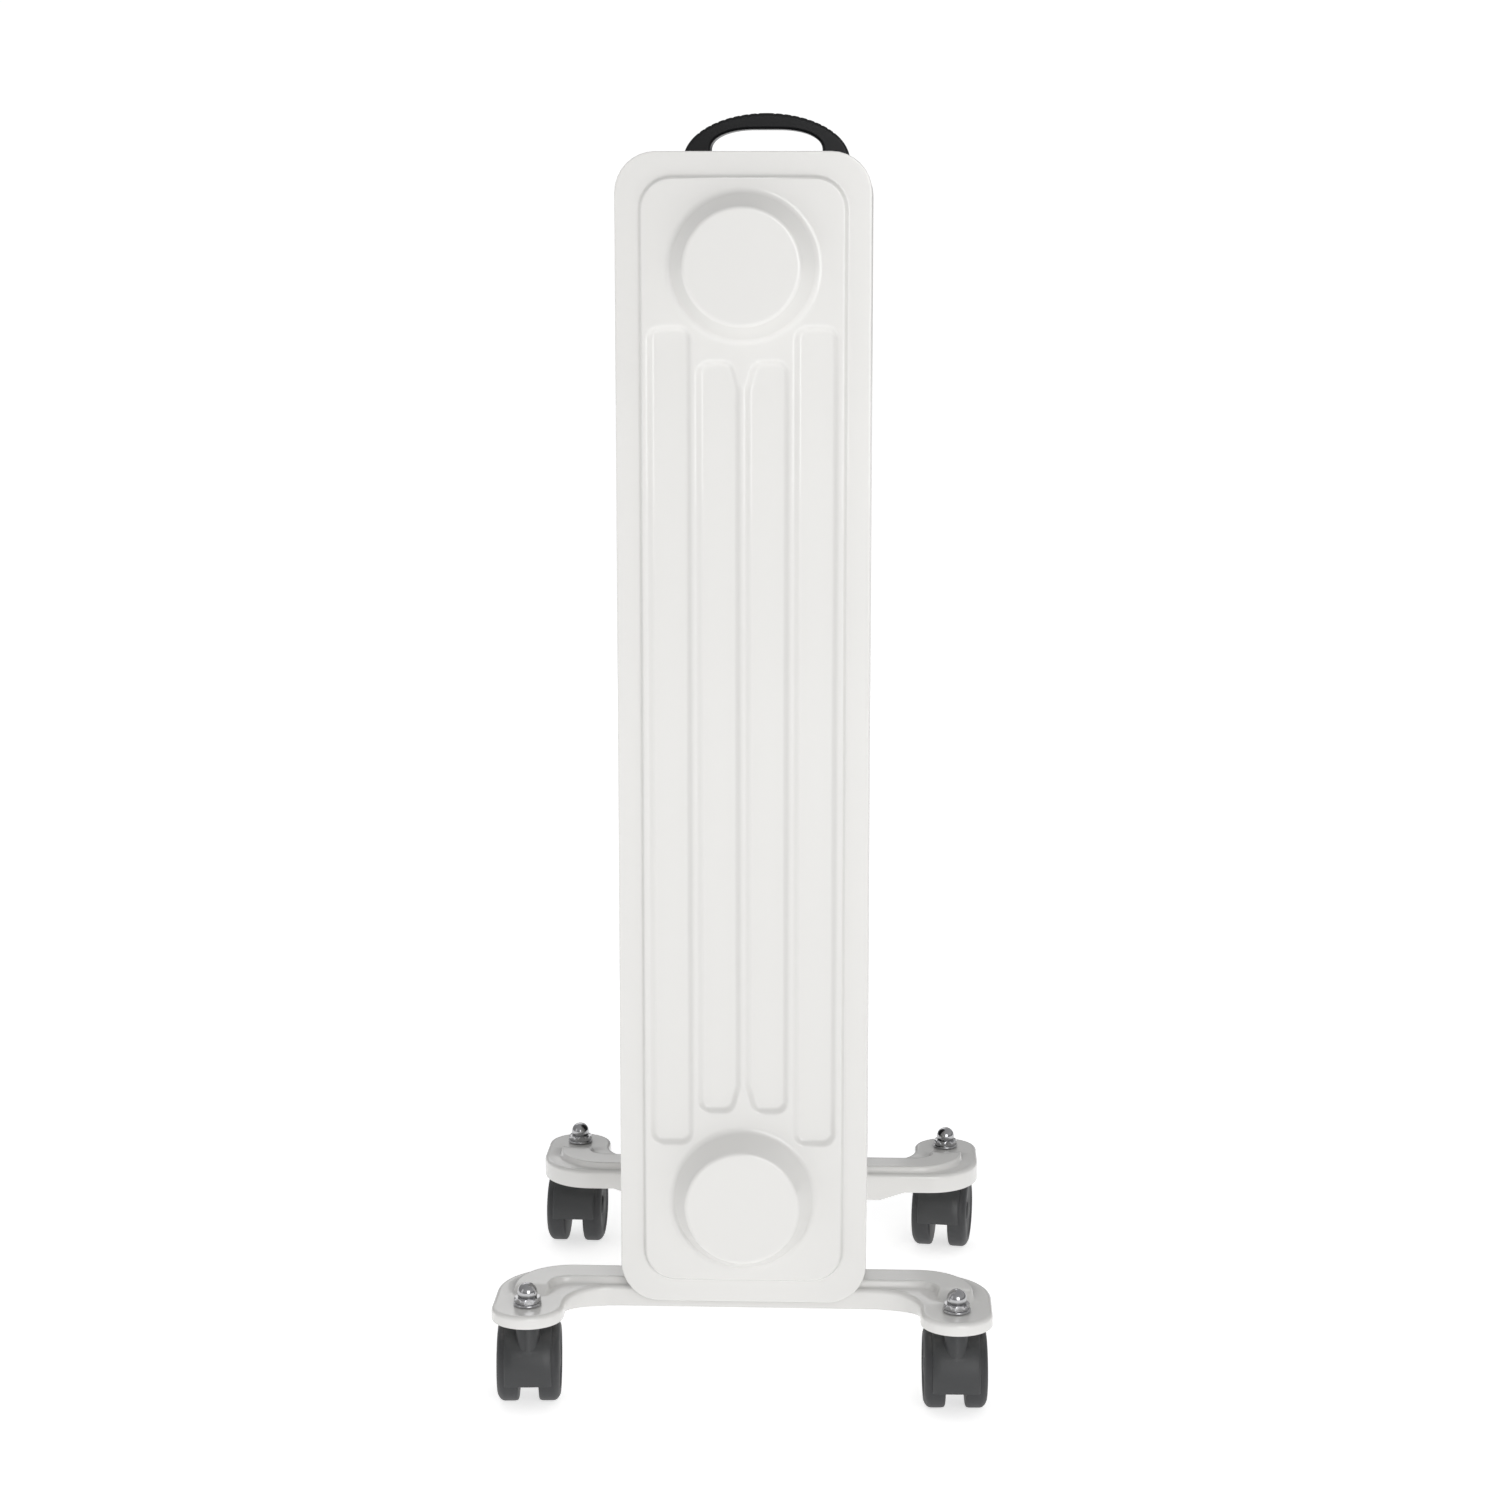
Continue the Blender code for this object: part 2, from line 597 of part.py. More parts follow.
def housing_section(depth, z, wall):
    """One level of the control housing: straight towards the fins, round corners at the far side."""
    half = HOUSING_HALF - wall
    corner = HOUSING_CORNER - wall
    near = HOUSING_NEAR if wall == 0.0 else -5.0 * MM
    far = depth - wall
    outline = [(half, near)]
    outline += arc((half - corner, far - corner), corner, 0.0, 90.0, 3)
    outline += arc((corner - half, far - corner), corner, 90.0, 180.0, 3)
    outline += [(-half, near)]
    return [(x, y, z) for x, y in outline]


def panel_pose():
    """The centre and the turn of the sloping panel: local Y runs up it and local Z points out of it."""
    low = Vector((0.0, PANEL_LOW[0], PANEL_LOW[1]))
    high = Vector((0.0, PANEL_HIGH[0], PANEL_HIGH[1]))
    up = (high - low).normalized()
    across = Vector((-1.0, 0.0, 0.0))
    out = across.cross(up)
    turn = Matrix((across, up, out)).transposed()
    centre = (low + high) / 2.0 + Vector((0.0, LAST_FIN_Y, 0.0))
    return centre, turn


def control_housing(pose):
    """The moulded case that covers the end of the radiator."""
    levels = [(60.0 * MM, HOUSING_BOTTOM), (98.0 * MM, HOUSING_BOTTOM + 45.0 * MM),
              (HOUSING_DEPTH, HOUSING_BOTTOM + 80.0 * MM), PANEL_LOW, PANEL_HIGH, (88.0 * MM, HOUSING_TOP)]
    outer = loft([housing_section(depth, z, 0.0) for depth, z in levels])
    inside = [(depth, z) for depth, z in levels]
    inside[0] = (inside[0][0], inside[0][1] + HOUSING_WALL)
    inside[-1] = (inside[-1][0], inside[-1][1] - HOUSING_WALL)
    hollow = loft([housing_section(depth, z, HOUSING_WALL) for depth, z in inside])
    back_to_local = pose.inverted() @ Matrix.Translation((0.0, LAST_FIN_Y, 0.0))
    window = moved(block((-46.0 * MM, -53.0 * MM, -12.0 * MM), (46.0 * MM, 53.0 * MM, 5.0 * MM)),
                   back_to_local.inverted())
    gland_hole = turned(disc(6.0 * MM + GAP, -20.0 * MM, 20.0 * MM, 12), "X", 90.0)
    gland_hole = shifted(gland_hole, x=0.0, y=HOUSING_DEPTH, z=GLAND_Z)
    return combine("control_housing", outer, cuts=[hollow, window, gland_hole])


def control_panel():
    """The fascia plate, in the panel's own frame."""
    half_up = 58.0 * MM
    outline = rounded(PANEL_HALF, -half_up, half_up, 8.0 * MM, 3)
    plate = prism(outline, "z", GAP, GAP + PANEL_THICK)
    cuts = [shifted(disc(4.5 * MM, -9.0 * MM, 9.0 * MM, 12), y=KNOB_UP),
            shifted(disc(4.0 * MM + GAP, -9.0 * MM, 9.0 * MM, 12), y=SWITCH_UP)]
    for side in (-1.0, 1.0):
        hole = block((-6.9 * MM, -10.8 * MM, -9.0 * MM), (6.9 * MM, 10.8 * MM, 9.0 * MM))
        cuts.append(shifted(hole, x=side * SWITCH_X, y=SWITCH_UP))
    for side_x in (-1.0, 1.0):
        for side_y in (-1.0, 1.0):
            hole = disc(1.9 * MM, -9.0 * MM, 9.0 * MM, 8)
            cuts.append(shifted(hole, x=side_x * 44.0 * MM, y=side_y * 51.0 * MM))
    return combine("control_panel", plate, cuts=cuts)


def knob_mesh():
    """The thermostat knob, with a grip bar across it and its shaft behind."""
    seat = PANEL_THICK + 2.0 * GAP
    body = lathe([(0.0, seat), (KNOB_R, seat), (KNOB_R, seat + 4.0 * MM), (KNOB_R - 3.0 * MM, seat + 6.0 * MM),
                  (0.0, seat + 6.0 * MM)], 24)
    outline = [(-20.0 * MM, seat + 5.0 * MM), (20.0 * MM, seat + 5.0 * MM), (17.0 * MM, seat + 15.0 * MM),
               (-17.0 * MM, seat + 15.0 * MM)]
    grip = turned(prism(outline, "y", -4.0 * MM, 4.0 * MM), "Z", 90.0)
    shaft = disc(3.0 * MM, -12.0 * MM, seat + 1.0 * MM, 12)
    return combine("knob", body, [grip, shaft])


def thermostat_mesh():
    """The thermostat's case behind the panel, with a bearing for the knob's shaft."""
    case = block((-17.0 * MM, -17.0 * MM, -26.0 * MM), (17.0 * MM, 17.0 * MM, -6.0 * MM))
    bush = disc(5.5 * MM, -7.0 * MM, -1.0 * MM, 12)
    bore = disc(3.0 * MM + 0.2 * MM, -13.0 * MM, 5.0 * MM, 12)
    return combine("thermostat", case, [bush], [bore])


def switch_mesh():
    """A rocker switch's case, open at the front, with its bezel on the panel."""
    seat = PANEL_THICK + 2.0 * GAP
    case = block((-6.6 * MM, -10.5 * MM, -18.0 * MM), (6.6 * MM, 10.5 * MM, seat + 0.5 * MM))
    bezel = prism(rounded(8.2 * MM, -12.2 * MM, 12.2 * MM, 1.5 * MM, 2), "z", seat, seat + 1.8 * MM)
    well = block((-5.4 * MM, -9.5 * MM, -8.0 * MM), (5.4 * MM, 9.5 * MM, 12.0 * MM))
    return combine("switch", case, [bezel], [well])


def rocker_mesh():
    """The rocker that is pressed, about its pivot on the local X axis."""
    outline = [(-7.9 * MM, 5.4 * MM), (0.0, 3.6 * MM), (7.9 * MM, 5.4 * MM), (7.5 * MM, 0.0), (4.0 * MM, -6.0 * MM),
               (-4.0 * MM, -6.0 * MM), (-7.5 * MM, 0.0)]
    return to_mesh("rocker", prism(outline, "x", -5.0 * MM, 5.0 * MM))


def handle_mesh():
    """The lifting handle: an arch across the width with flat front and back faces."""
    def arch(half, top, flat, rise, bulge):
        right = []
        for step in range(9):
            angle = math.radians(90.0 * step / 8.0)
            x = flat + (half - flat) * math.cos(angle) ** bulge
            z = top - rise + rise * math.sin(angle) ** bulge
            right.append((x, z))
        if flat == 0.0:
            right.pop()
            return right + [(0.0, top)] + [(-x, z) for x, z in right[::-1]]
        return right + [(-x, z) for x, z in right[::-1]]

    foot = HOUSING_TOP + GAP
    outer = [(HANDLE_HALF, foot)] + arch(HANDLE_HALF, HANDLE_TOP, 0.0, HANDLE_RISE, 1.0) + [(-HANDLE_HALF, foot)]
    inside = HANDLE_HALF - HANDLE_LEG
    inner = [(-inside, foot)]
    inner += arch(inside, HANDLE_TOP - HANDLE_GRIP, 6.0 * MM, HANDLE_INNER_RISE, 0.9)[::-1]
    inner += [(inside, foot)]
    return to_mesh("handle", prism(outer + inner, "y", -HANDLE_HALF_DEPTH, HANDLE_HALF_DEPTH))


def cord_cleat_mesh():
    """The cleat that the cord is wound on when the heater is put away."""
    post = block((-9.0 * MM, 0.0, -7.0 * MM), (9.0 * MM, 12.0 * MM, 7.0 * MM))
    outline = [(-40.0 * MM, 9.0 * MM), (-36.0 * MM, 13.0 * MM), (36.0 * MM, 13.0 * MM), (40.0 * MM, 9.0 * MM),
               (40.0 * MM, 5.0 * MM), (34.0 * MM, -4.0 * MM), (-34.0 * MM, -4.0 * MM), (-40.0 * MM, 5.0 * MM)]
    bar = prism([(x, z - 4.5 * MM) for x, z in outline], "y", 11.0 * MM, 15.5 * MM)
    return combine("cord_cleat", post, [bar])


def element_mesh():
    """The heating element: one bent tube that runs out and back inside the lower header."""
    reach = STACK_DEPTH - FIN_PITCH / 2.0
    half = 7.5 * MM
    path = [(half, 13.0 * MM), (half, half - reach)]
    path += arc((0.0, half - reach), half, 0.0, -180.0, 4)[1:]
    path += [(-half, 13.0 * MM)]
    return rod_mesh("element", [(x, y, 0.0) for x, y in path], 4.0 * MM)


def along_y(solid):
    """Turns a solid made on Z so that its top points towards +Y."""
    return turned(solid, "X", -90.0)


def build_control_end():
    """The housing, the handle, the controls and what is behind them."""
    centre, turn = panel_pose()
    pose = Matrix.Translation(centre) @ turn.to_4x4()
    end = empty("control_end", (0.0, LAST_FIN_Y, 0.0))
    panel = empty("panel_frame", centre, turn.to_euler())
    place("control_housing", control_housing(pose), "black_plastic", parent=end)
    place("handle", handle_mesh(), "black_plastic", (0.0, HANDLE_DEPTH, 0.0), parent=end)
    place("control_panel", control_panel(), "black_plastic", parent=panel)
    place("thermostat_knob", knob_mesh(), "black_plastic", (0.0, KNOB_UP, 0.0), parent=panel)
    place("thermostat", thermostat_mesh(), "zinc_steel", (0.0, KNOB_UP, 0.0), parent=panel)
    switch = switch_mesh()
    rocker = rocker_mesh()
    pivot_height = 2.0 * MM
    for name, side in (("left", 1.0), ("right", -1.0)):
        place(f"{name}_switch_body", switch, "black_plastic", (side * SWITCH_X, SWITCH_UP, 0.0), parent=panel)
        key = place(f"{name}_rocker", rocker, "black_plastic", (side * SWITCH_X, SWITCH_UP, pivot_height), parent=panel)
        key.rotation_euler = (math.radians(ROCKER_TILT), 0.0, 0.0)
    seat = PANEL_THICK + 2.0 * GAP
    lens = lathe([(0.0, -8.0 * MM), (4.0 * MM, -8.0 * MM), (4.0 * MM, seat), (5.4 * MM, seat),
                  (5.4 * MM, seat + 1.5 * MM), (3.0 * MM, seat + 3.0 * MM), (0.0, seat + 3.3 * MM)], 12)
    smooth(place("pilot_lamp", to_mesh("lamp", lens), "red_lens", (0.0, SWITCH_UP, 0.0), parent=panel))
    gland = lathe([(3.6 * MM, -6.0 * MM), (6.0 * MM, -6.0 * MM), (6.0 * MM, GAP), (8.5 * MM, GAP),
                   (7.0 * MM, 8.0 * MM), (3.6 * MM, 8.0 * MM)], 12)
    smooth(place("cord_gland", to_mesh("gland", along_y(gland)), "black_plastic",
                 (0.0, HOUSING_DEPTH, GLAND_Z), parent=end))
    place("cord_cleat", cord_cleat_mesh(), "black_plastic", (0.0, HOUSING_DEPTH + GAP, CLEAT_Z), parent=end)

    disc_face = FIN_PITCH / 2.0
    flange = along_y(lathe([(0.0, GAP), (22.0 * MM, GAP), (22.0 * MM, 4.0 * MM), (0.0, 4.0 * MM)], 16))
    ports = [shifted(along_y(disc(4.0 * MM + GAP, -10.0 * MM, 10.0 * MM, 12)), x=side * 7.5 * MM)
             for side in (-1.0, 1.0)]
    ring = combine("element_flange", flange, cuts=ports)
    place("element_flange", ring, "zinc_steel", (0.0, disc_face, LOWER_HEADER_Z), parent=end)
    element = element_mesh()
    smooth(place("heating_element", element, "zinc_steel", (0.0, disc_face, LOWER_HEADER_Z), parent=end))
    plug = along_y(lathe([(0.0, -4.0 * MM), (4.5 * MM, -4.0 * MM), (4.5 * MM, GAP), (8.0 * MM, GAP),
                          (8.0 * MM, 5.0 * MM), (0.0, 5.0 * MM)], 12))
    place("oil_filler_plug", to_mesh("plug", plug), "zinc_steel", (0.0, disc_face, UPPER_HEADER_Z), parent=end)
    cutout = along_y(lathe([(0.0, GAP), (9.0 * MM, GAP), (9.0 * MM, 7.0 * MM), (4.0 * MM, 10.0 * MM),
                            (0.0, 10.0 * MM)], 12))
    place("thermal_cutout", to_mesh("cutout", cutout), "ceramic",
          (0.0, FIELD_HEIGHT, 0.72 * UPPER_HEADER_Z), parent=end)
    strip = block((-24.0 * MM, -9.0 * MM, -8.0 * MM), (24.0 * MM, 9.0 * MM, 8.0 * MM))
    slots = [block((x * 12.0 * MM - 3.5 * MM, -4.0 * MM, 0.0), (x * 12.0 * MM + 3.5 * MM, 4.0 * MM, 9.0 * MM))
             for x in (-1.5, -0.5, 0.5, 1.5)]
    place("terminal_block", combine("terminal_block", strip, cuts=slots), "ceramic",
          (0.0, HOUSING_DEPTH - 35.0 * MM, 0.5 * UPPER_HEADER_Z), parent=end)


def main():
    """Builds the whole heater."""
    clear_scene()
    build_fins()
    build_brackets()
    build_casters()
    build_control_end()


main()
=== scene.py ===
"""Visual model of an oil filled column radiator heater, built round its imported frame."""

import json
import logging
import math
from dataclasses import dataclass
from enum import Enum
from typing import Callable, Iterable, Sequence

import bmesh
import bpy
import numpy as np
from mathutils import Matrix, Vector
from mathutils.geometry import delaunay_2d_cdt


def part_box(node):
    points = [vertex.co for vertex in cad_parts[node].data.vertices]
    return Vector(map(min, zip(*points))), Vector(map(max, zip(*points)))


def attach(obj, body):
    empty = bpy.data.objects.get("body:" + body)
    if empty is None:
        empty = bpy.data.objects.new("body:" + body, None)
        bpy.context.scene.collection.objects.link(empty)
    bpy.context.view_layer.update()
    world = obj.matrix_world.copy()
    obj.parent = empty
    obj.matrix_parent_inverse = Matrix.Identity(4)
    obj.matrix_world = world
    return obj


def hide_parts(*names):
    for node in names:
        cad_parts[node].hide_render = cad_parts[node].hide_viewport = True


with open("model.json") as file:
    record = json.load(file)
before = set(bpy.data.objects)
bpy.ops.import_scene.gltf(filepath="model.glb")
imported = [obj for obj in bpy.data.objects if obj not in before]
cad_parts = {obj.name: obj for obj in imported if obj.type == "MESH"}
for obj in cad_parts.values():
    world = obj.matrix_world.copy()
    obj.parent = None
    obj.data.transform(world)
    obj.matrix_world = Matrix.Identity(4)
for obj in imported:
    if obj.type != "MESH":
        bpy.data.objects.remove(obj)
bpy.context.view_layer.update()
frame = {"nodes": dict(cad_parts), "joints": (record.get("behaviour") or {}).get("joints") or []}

log = logging.getLogger("radiator")
MM = 0.001
ROOT = "radiator"
RIM_STEPS = 4
QUARTER = math.pi / 2.0

Point2 = tuple[float, float]
Outline = list[Point2]
Rule = Callable[[np.ndarray, np.ndarray], np.ndarray]


class Slot(Enum):
    """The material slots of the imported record."""

    PAINT = "white_paint"
    CHARCOAL = "charcoal_plastic"
    BLACK = "black_plastic"
    CHROME = "chrome_nut"
    ZINC = "zinc_steel"
    LENS = "red_lens"


class End(Enum):
    """The two ends of the radiator: the plain one and the one with the controls."""

    NEAR = "near"
    FAR = "far"


class Side(Enum):
    """Left and right as seen from the plain end."""

    LEFT = -1.0
    RIGHT = 1.0


# ---------------------------------------------------------------- outlines

def arc(centre: Point2, radius: float, start: float, end: float, steps: int) -> Outline:
    """Points on an arc.

    Args:
        centre: The arc's centre.
        radius: Its radius.
        start: First angle in degrees.
        end: Last angle in degrees.
        steps: Number of segments.

    Returns:
        The points, both ends included.
    """
    angles = [math.radians(start + (end - start) * step / steps) for step in range(steps + 1)]
    return [(centre[0] + radius * math.cos(a), centre[1] + radius * math.sin(a)) for a in angles]


def in_mm(points: Iterable[Point2]) -> Outline:
    """Points in metres from points in millimetres."""
    return [(a * MM, b * MM) for a, b in points]


def round_rectangle(half: Point2, corner: float, steps: int, centre: Point2 = (0.0, 0.0)) -> Outline:
    """A rectangle with round corners, anticlockwise.

    Args:
        half: Half width and half height.
        corner: Corner radius.
        steps: Segments in each corner.
        centre: Middle of the rectangle.

    Returns:
        The closed outline without a repeated last point.
    """
    x, y = half[0] - corner, half[1] - corner
    outline: Outline = []
    for sx, sy, start in ((1, -1, -90.0), (1, 1, 0.0), (-1, 1, 90.0), (-1, -1, 180.0)):
        middle = (centre[0] + sx * x, centre[1] + sy * y)
        outline += arc(middle, corner, start, start + 90.0, steps)
    return outline


def filleted(corners: Sequence[Point2], radii: Sequence[float], steps: int, closed: bool = True) -> Outline:
    """Rounds the corners of a polyline.

    Args:
        corners: The sharp corners.
        radii: One radius for each corner; 0 keeps it sharp.
        steps: Segments in each round.
        closed: Whether the last corner joins the first.

    Returns:
        The rounded outline.
    """
    outline: Outline = []
    count = len(corners)
    for i, (corner, radius) in enumerate(zip(corners, radii)):
        if radius <= 0.0 or (not closed and i in (0, count - 1)):
            outline.append(corner)
            continue
        here = Vector(corner)
        back = (Vector(corners[i - 1]) - here).normalized()
        ahead = (Vector(corners[(i + 1) % count]) - here).normalized()
        angle = back.angle(ahead)
        middle = here + (back + ahead).normalized() * (radius / math.sin(angle / 2.0))
        first = here + back * (radius / math.tan(angle / 2.0)) - middle
        last = here + ahead * (radius / math.tan(angle / 2.0)) - middle
        sweep = first.angle_signed(last)
        for step in range(steps + 1):
            turn = Matrix.Rotation(-sweep * step / steps, 2)
            spot = middle + turn @ first
            outline.append((spot.x, spot.y))
    return outline


def dense(outline: Outline, spacing: float) -> Outline:
    """Adds points along a closed outline's long sides.

    Args:
        outline: The outline.
        spacing: The longest side that stays undivided.

    Returns:
        The denser outline.
    """
    result: Outline = []
    for i, (x0, y0) in enumerate(outline):
        x1, y1 = outline[(i + 1) % len(outline)]
        parts = max(1, math.ceil(math.hypot(x1 - x0, y1 - y0) / spacing))
        for part in range(parts):
            share = part / parts
            result.append((x0 + (x1 - x0) * share, y0 + (y1 - y0) * share))
    return result


def depth_inside(x: np.ndarray, y: np.ndarray, outline: Outline) -> np.ndarray:
    """Distance of points to an outline, positive inside and negative outside.

    Args:
        x: First coordinates.
        y: Second coordinates.
        outline: A closed outline.

    Returns:
        One signed distance for each point.
    """
    nearest = np.full(x.shape, 1e9)
    inside = np.zeros(x.shape, bool)
    for i, (x0, y0) in enumerate(outline):
        x1, y1 = outline[(i + 1) % len(outline)]
        dx, dy = x1 - x0, y1 - y0
        length = dx * dx + dy * dy
        if length == 0.0:
            continue
        share = np.clip(((x - x0) * dx + (y - y0) * dy) / length, 0.0, 1.0)
        nearest = np.minimum(nearest, np.hypot(x - x0 - share * dx, y - y0 - share * dy))
        if dy != 0.0:
            crosses = ((y0 > y) != (y1 > y)) & (x < dx * (y - y0) / dy + x0)
            inside ^= crosses
    return np.where(inside, nearest, -nearest)


def inset(corners: Sequence[Point2], radii: Sequence[float], depth: float, steps: int) -> Outline:
    """A convex, rounded outline moved inwards by an even depth.

    Args:
        corners: The sharp corners, anticlockwise.
        radii: The corner radii of the outline itself.
        depth: How far it moves inwards; negative moves it outwards.
        steps: Segments in each round.

    Returns:
        The inner outline.
    """
    moved: list[Point2] = []
    count = len(corners)
    for i in range(count):
        before, here, after = (Vector(corners[(i + k) % count]) for k in (-1, 0, 1))
        back = (here - before).normalized()
        ahead = (after - here).normalized()
        normal_a = Vector((-back.y, back.x))
        normal_b = Vector((-ahead.y, ahead.x))
        middle = (normal_a + normal_b).normalized()
        spot = here + middle * (depth / middle.dot(normal_a))
        moved.append((spot.x, spot.y))
    return filleted(moved, [max(r - depth, 0.3 * MM) for r in radii], steps)


def smooth_step(value: np.ndarray) -> np.ndarray:
    """A soft ramp from 0 to 1."""
    share = np.clip(value, 0.0, 1.0)
    return share * share * (3.0 - 2.0 * share)


# ---------------------------------------------------------------- solids

def lofted(rings: Sequence[Sequence[Sequence[float]]]) -> bmesh.types.BMesh:
    """Skins a row of rings and fills both ends.

    Args:
        rings: Rings of equal length, each a list of points.

    Returns:
        The closed solid with its faces pointing out.
    """
    solid = bmesh.new()
    loops = [[solid.verts.new(point) for point in ring] for ring in rings]
    count = len(rings[0])
    for low, high in zip(loops, loops[1:]):
        for i in range(count):
            j = (i + 1) % count
            solid.faces.new((low[i], low[j], high[j], high[i]))
    solid.faces.new(loops[0][::-1])
    solid.faces.new(loops[-1])
    bmesh.ops.recalc_face_normals(solid, faces=solid.faces)
    return solid


def turned(profile: Sequence[Point2], steps: int) -> bmesh.types.BMesh:
    """Turns a profile of (radius, height) about Z.

    Args:
        profile: An open profile that starts and ends on the axis, or a closed ring profile.
        steps: Segments round the axis.

    Returns:
        The closed solid.
    """
    solid = bmesh.new()
    angles = [2.0 * math.pi * step / steps for step in range(steps)]
    loops: list[list[bmesh.types.BMVert]] = []
    for radius, height in profile:
        if radius <= 0.0:
            loops.append([solid.verts.new((0.0, 0.0, height))])
        else:
            loops.append([solid.verts.new((radius * math.cos(a), radius * math.sin(a), height)) for a in angles])
    pairs = list(zip(loops, loops[1:]))
    if profile[0][0] > 0.0:
        pairs.append((loops[-1], loops[0]))
    for low, high in pairs:
        for i in range(steps):
            j = (i + 1) % steps
            if len(low) == 1:
                solid.faces.new((low[0], high[i], high[j]))
            elif len(high) == 1:
                solid.faces.new((low[i], low[j], high[0]))
            else:
                solid.faces.new((low[i], low[j], high[j], high[i]))
    bmesh.ops.recalc_face_normals(solid, faces=solid.faces)
    return solid


def cylinder(radius: float, low: float, high: float, steps: int) -> bmesh.types.BMesh:
    """A plain round bar on Z."""
    return turned([(0.0, low), (radius, low), (radius, high), (0.0, high)], steps)


def spun(profile: Sequence[Point2], steps: int) -> bmesh.types.BMesh:
    """Turns a profile of (radius, height) in millimetres about Z."""
    return turned(in_mm(profile), steps)


def prism(outline: Outline, low: float, high: float, axis: str = "Z") -> bmesh.types.BMesh:
    """Extrudes an outline along an axis.

    Args:
        outline: Points in the two other coordinates, in the order X, Y, Z.
        low: Where it starts.
        high: Where it ends.
        axis: X, Y or Z.

    Returns:
        The closed solid.
    """
    def lift(point: Point2, depth: float) -> tuple[float, float, float]:
        if axis == "X":
            return depth, point[0], point[1]
        if axis == "Y":
            return point[0], depth, point[1]
        return point[0], point[1], depth
    return lofted([[lift(p, low) for p in outline], [lift(p, high) for p in outline]])


def pillow(outline_at: Callable[[float], Outline], low: float, high: float, edge: float) -> bmesh.types.BMesh:
    """A plate whose upper rim is rounded.

    Args:
        outline_at: Gives the outline moved inwards by a depth.
        low: Height of the lower face.
        high: Height of the upper face.
        edge: Radius of the round along the upper rim.

    Returns:
        The closed solid.
    """
    levels = [(0.0, low)]
    levels += [(edge * (1.0 - math.cos(t)), high - edge * (1.0 - math.sin(t)))
               for t in np.linspace(0.0, QUARTER, RIM_STEPS + 1)]
    return lofted([[(x, y, z) for x, y in outline_at(depth)] for depth, z in levels])


def moved(solid: bmesh.types.BMesh, matrix: Matrix) -> bmesh.types.BMesh:
    """The same solid after a move or a turn."""
    bmesh.ops.transform(solid, matrix=matrix, verts=solid.verts)
    return solid


def stood(spot: Sequence[float], angle: float, axis: str) -> Matrix:
    """A turn about an axis through the origin, then a move to a spot."""
    return Matrix.Translation(spot) @ Matrix.Rotation(angle, 4, axis)


def joined(solids: Iterable[bmesh.types.BMesh]) -> bmesh.types.BMesh:
    """Several solids in one mesh; the given ones are freed."""
    result = bmesh.new()
    for solid in solids:
        spare = bpy.data.meshes.new("spare")
        solid.to_mesh(spare)
        solid.free()
        result.from_mesh(spare)
        bpy.data.meshes.remove(spare)
    return result


def to_mesh(name: str, solid: bmesh.types.BMesh) -> bpy.types.Mesh:
    """Turns a bmesh into mesh data and frees it."""
    mesh = bpy.data.meshes.new(name)
    solid.to_mesh(mesh)
    solid.free()
    return mesh


def carrier(name: str, mesh: bpy.types.Mesh) -> bpy.types.Object:
    """A helper object that holds a mesh while modifiers work on it."""
    thing = bpy.data.objects.new(name, mesh)
    bpy.context.scene.collection.objects.link(thing)
    return thing


def baked(thing: bpy.types.Object, *helpers: bpy.types.Object) -> bpy.types.Mesh:
    """Turns an object's modifiers into a plain mesh.

    Args:
        thing: The object with the modifiers; it is removed.
        helpers: Cutters and the like that are removed with it.

    Returns:
        The plain mesh.
    """
    bpy.context.view_layer.update()
    evaluated = thing.evaluated_get(bpy.context.evaluated_depsgraph_get())
    mesh = bpy.data.meshes.new_from_object(evaluated)
    for spare in (thing, *helpers):
        bpy.data.objects.remove(spare, do_unlink=True)
    return mesh


def combined(name: str, base: bmesh.types.BMesh, adds: Sequence[bmesh.types.BMesh] = (),
             cuts: Sequence[bmesh.types.BMesh] = ()) -> bpy.types.Mesh:
    """Joins solids to a base and cuts others out of it.

    Args:
        name: Name of the mesh.
        base: The first solid.
        adds: Solids that are joined to it.
        cuts: Solids that are cut out of the result.

    Returns:
        The plain mesh.
    """
    host = carrier(name, to_mesh(name, base))
    tools: list[bpy.types.Object] = []
    for operation, solids in (("UNION", adds), ("DIFFERENCE", cuts)):
        for solid in solids:
            tool = carrier("tool", to_mesh("tool", solid))
            tools.append(tool)
            step = host.modifiers.new("step", "BOOLEAN")
            step.operation = operation
            step.solver = "EXACT"
            step.object = tool
    return baked(host, *tools)


